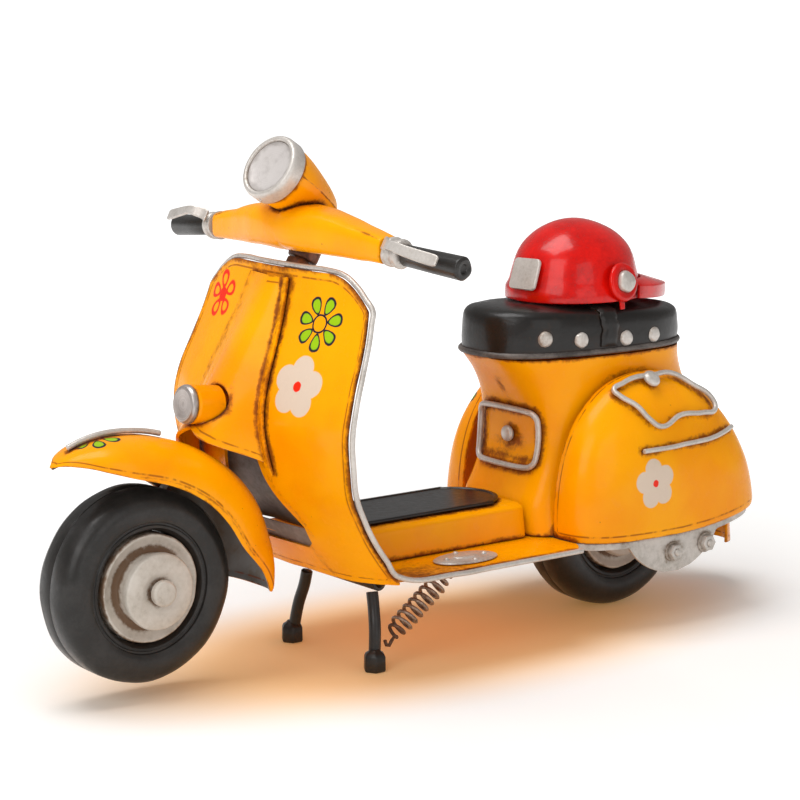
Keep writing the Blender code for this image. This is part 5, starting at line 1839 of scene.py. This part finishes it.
@dataclass
class FrontFork:
    """Column, front mudguard, fork arm and front axle."""

    rake: float = math.radians(31.0)
    column_top: Point = (45.6, 0.0, 125.0)
    axle: Point = (106.0, 0.0, 34.5)
    crown: Table = ((-100, 43.5), (-80, 45.0), (-50, 44.6), (-20, 43.6), (0, 44.8), (14, 46.4),
                    (25, 47.4), (31, 47.6), (36, 47.4))
    edge: Table = ((-100, 40.5), (-90, 36.5), (-75, 31.0), (-60, 29.5), (-30, 29.6), (-8, 31.4),
                   (10, 34.6), (22, 39.4), (31, 45.2), (36, 47.2))
    width: Table = ((-100, 13.0), (-88, 14.6), (-60, 15.0), (0, 15.0), (12, 14.2), (22, 11.6),
                    (30, 6.6), (34, 2.6), (36, 0.8))
    nose: float = 36.0
    tail: float = -99.0

    def column_point(self, z: float) -> Vector:
        """Point of the steering axis at a height, in millimetres."""
        drop = (self.column_top[2] - z) / math.cos(self.rake)
        return Vector(self.column_top) + Vector((math.sin(self.rake), 0,
                                                 -math.cos(self.rake))) * drop

    def guard_point(self, turn: float, across: float, clear: float = 0.0) -> Vector:
        """Point of the mudguard; turn in degrees forward of straight up."""
        crown, edge = read_table(turn, self.crown), read_table(turn, self.edge)
        angle = math.pi / 2 * across
        y = read_table(turn, self.width) * math.copysign(abs(math.sin(angle)) ** 0.85, across)
        radius = edge + (crown - edge) * abs(math.cos(angle)) ** 0.8 + clear
        sweep = math.radians(turn)
        return mm(self.axle[0] + radius * math.sin(sweep), y,
                  self.axle[2] + radius * math.cos(sweep))

    def build_column(self, palette: Palette) -> None:
        """Stem with its collar, and the head tube it turns in."""
        top, low = self.column_point(131.0), self.column_point(73.2)
        stem = Bench.rod("stem", low * MM, top * MM, 2.3)
        foot, head = self.column_point(126.1), self.column_point(130.4)
        height = (head - foot).length
        collar = Bench.turned("collar", [(0, 0), (4.5, 0), (4.8, 1.0), (4.7, height), (0, height)],
                              foot * MM, head - foot, 40)
        dress(Bench.join("steering_stem", [stem, collar]), palette.column,
              "steering_stem", body=Body.STEERING)
        foot, head = self.column_point(86.0), self.column_point(125.5)
        height = (head - foot).length
        tube = Bench.turned("head_tube", [(4.0, 0), (2.6, 0), (2.6, height), (4.2, height),
                                          (4.2, height - 3), (4.0, height - 3.6)],
                            foot * MM, head - foot, 40, closed=True)
        dress(tube, palette.column, "head_tube")

    def build_mudguard(self, palette: Palette) -> None:
        """Guard with a rolled edge, grey inside, and its crest."""
        def shape(u: float, v: float) -> Vector:
            turn = self.tail + (v + 1) / 2 * (self.nose - self.tail)
            full = math.copysign(abs(u) ** 0.9, u)
            return self.guard_point(turn, full)

        def blunt(spot: Vector) -> float:
            return ease((129.0 - spot.x) / 6.0)

        guard = Bench.sheet("front_mudguard", shape, 56, 84, offset=1.0, dents=0.3, bead=0.5,
                            keep=blunt)
        for across in (-0.97, 0.97):
            rim = [tuple(self.guard_point(turn, across) / MM) for turn in range(-80, 12, 6)]
            stain(guard, rim, 1.3, 0.75)
        dress(guard, palette.mudguard, "front_mudguard", body=Body.STEERING)
        crest = [self.guard_point(turn, 0, 1.1) / MM for turn in (27, 21, 14, 7, 0, -7, -12)]
        dress(Bench.wire("mudguard_crest", crest, 0.85), palette.silver,
              "mudguard_crest", body=Body.STEERING)

    def build_arm(self, palette: Palette) -> None:
        """Fork arm behind the wheel and the axle with its cap."""
        path = []
        for turn, radius, y in ((-37, 41.4, 0.0), (-37, 41.2, -4.0), (-37, 40.2, -7.6),
                                (-37, 37.8, -10.6), (-37, 34.0, -12.3), (-37, 20.0, -12.4),
                                (-37, 6.0, -12.5), (0, 0.0, -12.6)):
            sweep = math.radians(turn)
            path.append((self.axle[0] + radius * math.sin(sweep), y,
                         self.axle[2] + radius * math.cos(sweep)))
        dress(Bench.wire("fork_arm", path, 1.1), palette.silver, "fork_arm", body=Body.STEERING)
        spindle = [(0, 17.0), (3.3, 17.0), (3.9, 16.5), (3.9, 14.7), (2.0, 14.7), (2.0, -11.1),
                   (0, -11.1)]
        axle = Bench.turned("front_axle", spindle, mm(*self.axle), Vector((0, 1, 0)), 48)
        dress(axle, palette.hub, "front_axle", body=Body.STEERING)

    def build(self, palette: Palette) -> None:
        """Build and dress the front end."""
        self.build_column(palette)
        self.build_mudguard(palette)
        self.build_arm(palette)


@dataclass
class Handlebar:
    """Headset casting, lamp, collars, grips and levers."""

    section: tuple[tuple[float, ...], ...] = (
        (0.0, 46.2, 136.3, 9.2, 7.3), (7.0, 46.2, 136.3, 8.9, 7.1), (14.0, 46.0, 136.0, 7.9, 6.7),
        (22.0, 45.7, 135.4, 6.5, 6.1), (32.0, 45.2, 134.3, 5.0, 5.0), (43.6, 44.6, 133.0, 3.9, 3.9))
    lamp: Point = (56.0, 0.0, 154.7)
    tilt: float = math.radians(31.0)
    turn: float = math.radians(8.0)
    bar_end: Point = (44.6, 43.6, 132.8)
    grip_end: Point = (41.2, 73.9, 130.2)
    lamp_rows: Table = ((-1.6, 9.2), (-4, 9.6), (-8, 9.5), (-13, 8.8), (-19, 7.3), (-25, 5.2),
                        (-28.2, 3.4), (-29.4, 1.2))
    bezel: Table = ((8.45, 0.5), (8.6, 1.2), (9.2, 1.45), (9.8, 1.25), (10.2, 0.75), (10.4, 0.0),
                    (10.4, -3.6), (9.9, -3.8), (9.6, -1.6), (8.45, -1.2))
    lens: Table = ((0, -0.45), (3.4, -0.35), (6.2, -0.05), (7.6, 0.35), (8.2, 0.65), (8.4, 0.55),
                   (8.4, -1.1), (0, -1.1))
    collar: Table = ((0, 6.4), (3.5, 6.4), (4.35, 5.9), (4.4, 4.3), (3.7, 3.7), (3.7, 2.8),
                     (4.5, 2.2), (4.5, 0.9), (0, 0.9))
    cuff_length: float = 6.7
    blade_start: float = 46.4
    blade_length: float = 23.6
    blade_x: Table = ((46.4, 48.4), (48.5, 48.6), (51.5, 50.0), (57.0, 49.8), (63.0, 48.5),
                      (70.0, 46.5))
    blade_z: Table = ((46.4, 135.4), (48.5, 136.9), (51.5, 138.0), (57.0, 137.1), (63.0, 135.9),
                      (70.0, 134.6))
    blade_width: Table = ((46.4, 1.9), (49.0, 1.7), (52.0, 1.4), (57.0, 1.6), (69.0, 1.75),
                          (70.0, 1.3))

    @property
    def ahead(self) -> Vector:
        """The way the lamp looks."""
        level = math.cos(self.tilt)
        return Vector((level * math.cos(self.turn), level * math.sin(self.turn),
                       math.sin(self.tilt)))

    @property
    def across(self) -> Vector:
        """The lamp's level sideways direction."""
        return Vector((-math.sin(self.turn), math.cos(self.turn), 0))

    def build_casting(self, palette: Palette) -> None:
        """Headset with a fat middle and creased arms."""
        columns = [[(row[0], row[k]) for row in self.section] for k in (1, 2, 3, 4)]

        def shape(u: float, v: float) -> Vector:
            y = 43.6 * v
            x, z, deep, tall = (read_table(abs(y), column) for column in columns)
            power = 2.0 + 1.9 * abs(v) ** 0.6
            along, up = superellipse(-math.pi * u, deep, tall, power)
            return mm(x + along, y, z + up)

        casting = Bench.loft("headset", shape, 64, 84)
        Bench.mark(casting, "rim", [NO_RIM] * len(casting.data.vertices))
        Bench.hammer(casting, 0.3, 8.0, 9.0)
        Bench.apply(casting, "BEVEL", width=0.3 * MM, segments=2, limit_method="ANGLE",
                    angle_limit=math.radians(50))
        for sign in SIDES.values():
            crease = [(45.8 + 2.6, sign * 30.0, 138.6), (44.8 + 3.4, sign * 43.0, 136.6)]
            stain(casting, crease, 1.0, 0.9)
        dress(casting, palette.paint, "headset", body=Body.STEERING)

    def build_lamp(self, palette: Palette) -> None:
        """Pinched lamp shell, bezel and lens."""
        centre, ahead, across = mm(*self.lamp), self.ahead, self.across
        upward = ahead.cross(across)

        def shape(u: float, v: float) -> Vector:
            depth = -1.6 - (1 - v) / 2 * 27.8
            radius = read_table(depth, [(d, r) for d, r in reversed(self.lamp_rows)])
            pinch = 0.5 + 0.33 * ease((-depth - 1.6) / 16)
            turn = math.pi * u
            side = math.cos(turn)
            rise = math.copysign(max(0.0, 1 - side * side) ** pinch, math.sin(turn))
            point = ahead * depth + across * (radius * side) + upward * (radius * rise)
            return centre + point * MM

        shell = Bench.loft("headlight_shell", shape, 64, 48)
        Bench.mark(shell, "rim", [NO_RIM] * len(shell.data.vertices))
        Bench.hammer(shell, 0.2, 8.0, 5.0)
        for sign in SIDES.values():
            seam = []
            for depth in (-5, -10, -16, -22, -27):
                spot = Vector(self.lamp) + ahead * depth
                radius = read_table(depth, [(d, r) for d, r in reversed(self.lamp_rows)])
                seam.append(tuple(spot + across * (sign * radius)))
            stain(shell, seam, 0.75, 0.9)
        dress(shell, palette.paint, "headlight_shell", body=Body.STEERING, angle=30)
        ring = Bench.turned("bezel", self.bezel, centre, ahead, 80, 0.15, closed=True)
        nib = Bench.turned("nib", [(0, 0.7), (0.5, 0.5), (0.6, -0.4), (0, -0.4)],
                           centre + (upward * -10.2 - ahead * 1.2) * MM, -upward, 16, 0.05)
        dress(Bench.join("headlight_bezel", [ring, nib]), palette.silver,
              "headlight_bezel", body=Body.STEERING)
        dish = Bench.turned("headlight_lens", self.lens, centre, ahead, 80, 0.05)
        metal = SpunMetal("lamp_lens", self.lamp, tuple(ahead), (0.60, 0.56, 0.54),
                          (0.56, 0.52, 0.50), (0.30, 0.27, 0.25), metal=0.2)
        dress(dish, Coat(metal.material(), "frosted_lens"), "headlight_lens", body=Body.STEERING)

    def build_ends(self, palette: Palette) -> None:
        """Collar, grip and lever on each side."""
        for side, sign in SIDES.items():
            start = Vector((self.bar_end[0], sign * self.bar_end[1], self.bar_end[2]))
            end = Vector((self.grip_end[0], sign * self.grip_end[1], self.grip_end[2]))
            line = (end - start).normalized()
            cuff = Bench.turned(f"bar_collar_{side}", self.collar, start * MM, line, 48)
            Bench.hammer(cuff, 0.25, 3.5, 2.0 + sign)
            dress(cuff, palette.silver, f"bar_collar_{side}", body=Body.STEERING)
            grip_start = start + line * self.cuff_length
            length = (end - grip_start).length
            section = [(0, length - 0.8), (1.2, length - 0.8), (1.5, length - 0.1), (2.7, length),
                       (3.45, length - 0.5), (3.5, length - 1.4), (3.35, length * 0.5), (3.15, 0.4),
                       (2.9, 0), (0, 0)]
            grip = Bench.turned(f"grip_{side}", section, grip_start * MM, line, 48)
            Bench.hammer(grip, 0.3, 3.0, 4.0 + sign)
            dress(grip, palette.black, f"grip_{side}", body=Body.STEERING)
            self.build_lever(palette, side, sign)

    def build_lever(self, palette: Palette, side: str, sign: int) -> None:
        """Flat blade that rises from the collar and runs out over the grip."""
        lean = Vector((0.88, 0, 0.47))
        forward, drop = (1.2, 2.2) if sign > 0 else (0.6, 0.8)

        def shape(u: float, v: float) -> Vector:
            y = self.blade_start + (v + 1) / 2 * self.blade_length
            out = ease((y - self.blade_start) / 4.0)
            middle = Vector((read_table(y, self.blade_x) + forward * out, 0,
                             read_table(y, self.blade_z) - drop * out))
            across = Vector((lean.z, 0, -lean.x)) * (u * read_table(y, self.blade_width))
            spot = middle + across
            return mm(spot.x, sign * y, spot.z)

        blade = Bench.sheet(f"lever_{side}", shape, 6, 48, 0.95, sign * 1.0, 0.06)
        dress(blade, palette.silver, f"lever_{side}", body=Body.STEERING)

    def build(self, palette: Palette) -> None:
        """Build and dress the bars."""
        self.build_casting(palette)
        self.build_lamp(palette)
        self.build_ends(palette)


# --- studio

@dataclass
class Studio:
    """Pale floor, soft lights and the camera.

    Lengths are in metres; the footprint's numbers are one over its half lengths.
    """

    azimuth: float = math.radians(142.44205)
    elevation: float = math.radians(10.058857)
    distance: float = 0.8239247
    target: Point = (0.00729138, 0.0, 0.07876771)
    lens: float = 117.5784
    footprint: Point = (7.4, 15.0, 1.0)
    # Colour and glow of the painted bounce light on the floor below the scooter.
    painted_bounce_tint: Colour = (0.90, 0.60, 0.30)
    painted_bounce_glow: Colour = (0.20, 0.10, 0.03)

    def build_floor(self) -> None:
        """White floor with painted warm bounce light below the scooter, that runs out into an even
        glow away from it.
        """
        Bench.clear()
        bpy.ops.mesh.primitive_plane_add(size=40)
        floor = bpy.context.object
        floor.name = "studio_floor"
        graph = Graph("studio_white")
        colour = graph.mix(graph.noise(60, 3, 0.5), (0.87, 0.865, 0.855), (0.89, 0.885, 0.88))
        rough = graph.noise(25, 3, 0.5) * 0.1 + 0.55
        length = {"operation": "LENGTH"}
        away = graph.node("ShaderNodeVectorMath", length, {0: graph.place}, "Value")
        glow = graph.mix(away.ramp(0.08, 0.6), (0.13, 0.125, 0.12), (0.8, 0.8, 0.8))
        squeezed = graph.node("ShaderNodeMapping", {}, {"Vector": graph.place,
                                                        "Scale": self.footprint})
        shade = graph.node("ShaderNodeVectorMath", length, {0: squeezed}, "Value")
        # Painted bounce light: below the scooter the floor is tinted warm and made to glow warm, as
        # light thrown off the orange underside would be.
        under = shade.ramp(1.15, 0.5)
        colour = graph.mix(under * 0.9, colour, self.painted_bounce_tint)
        glow = graph.mix(under, glow, self.painted_bounce_glow)
        graph.surface.inputs["Specular IOR Level"].default_value = 0.2
        graph.surface.inputs["Emission Strength"].default_value = 1.0
        floor.data.materials.append(graph.finish(Base_Color=colour, Roughness=rough,
                                                 Emission_Color=glow))

    def build_light(self, name: str, place: Point, size: float, power: float,
                    tint: Colour = (1.0, 1.0, 1.0)) -> None:
        """Square soft box aimed at the scooter."""
        lamp = bpy.data.lights.new(name, "AREA")
        lamp.energy = power
        lamp.size = size
        lamp.color = tint
        box = bpy.data.objects.new(name, lamp)
        bpy.context.scene.collection.objects.link(box)
        box.location = place
        box.rotation_euler = (Vector((0, 0, 0.06)) - Vector(place)).to_track_quat(
            "-Z", "Y").to_euler()

    def build_camera(self) -> None:
        """Camera at the chosen angle."""
        back = Vector((math.sin(self.azimuth) * math.cos(self.elevation),
                       -math.cos(self.azimuth) * math.cos(self.elevation),
                       math.sin(self.elevation)))
        right = Vector((math.cos(self.azimuth), math.sin(self.azimuth), 0))
        turn = Matrix((right, back.cross(right), back)).transposed().to_4x4()
        lens = bpy.data.cameras.new("studio_camera")
        lens.lens = self.lens
        lens.sensor_width = 36.0
        lens.clip_start = 0.01
        camera = bpy.data.objects.new("studio_camera", lens)
        bpy.context.scene.collection.objects.link(camera)
        camera.matrix_world = Matrix.Translation(Vector(self.target) + back * self.distance) @ turn
        bpy.context.scene.camera = camera

    def build(self) -> None:
        """Set up the room."""
        world = bpy.data.worlds.new("studio_air")
        world.use_nodes = True
        air = world.node_tree.nodes["Background"]
        air.inputs["Color"].default_value = (1.0, 0.99, 0.98, 1.0)
        air.inputs["Strength"].default_value = 0.34
        bpy.context.scene.world = world
        bpy.context.scene.view_settings.view_transform = "Standard"
        self.build_floor()
        self.build_light("key", (0.30, -0.10, 1.25), 0.8, 11.0)
        self.build_light("front", (1.05, 0.55, 0.75), 0.8, 5.5)
        self.build_light("side", (0.05, 1.30, 0.45), 0.7, 1.8)
        self.build_camera()


# --- main

def main() -> None:
    """Build every sub-assembly in order, then the room."""
    logging.basicConfig(level=logging.INFO, format="%(message)s")
    palette = Palette()
    shield = LegShield()
    groups = [shield, Floor(shield), BodyShell(), Cowls(), Seat(), Helmet(),
              Wheel("front", Body.FRONT_WHEEL, (106.0, 0.0, 34.5), 14.2),
              Wheel("rear", Body.REAR_WHEEL, (-79.0, 0.0, 29.5), 12.0),
              Stand(), FrontFork(), Handlebar()]
    for group in groups:
        LOG.info("== %s", type(group).__name__)
        group.build(palette)
    settle_wash()
    Studio().build()


if __name__ == "__main__":
    main()
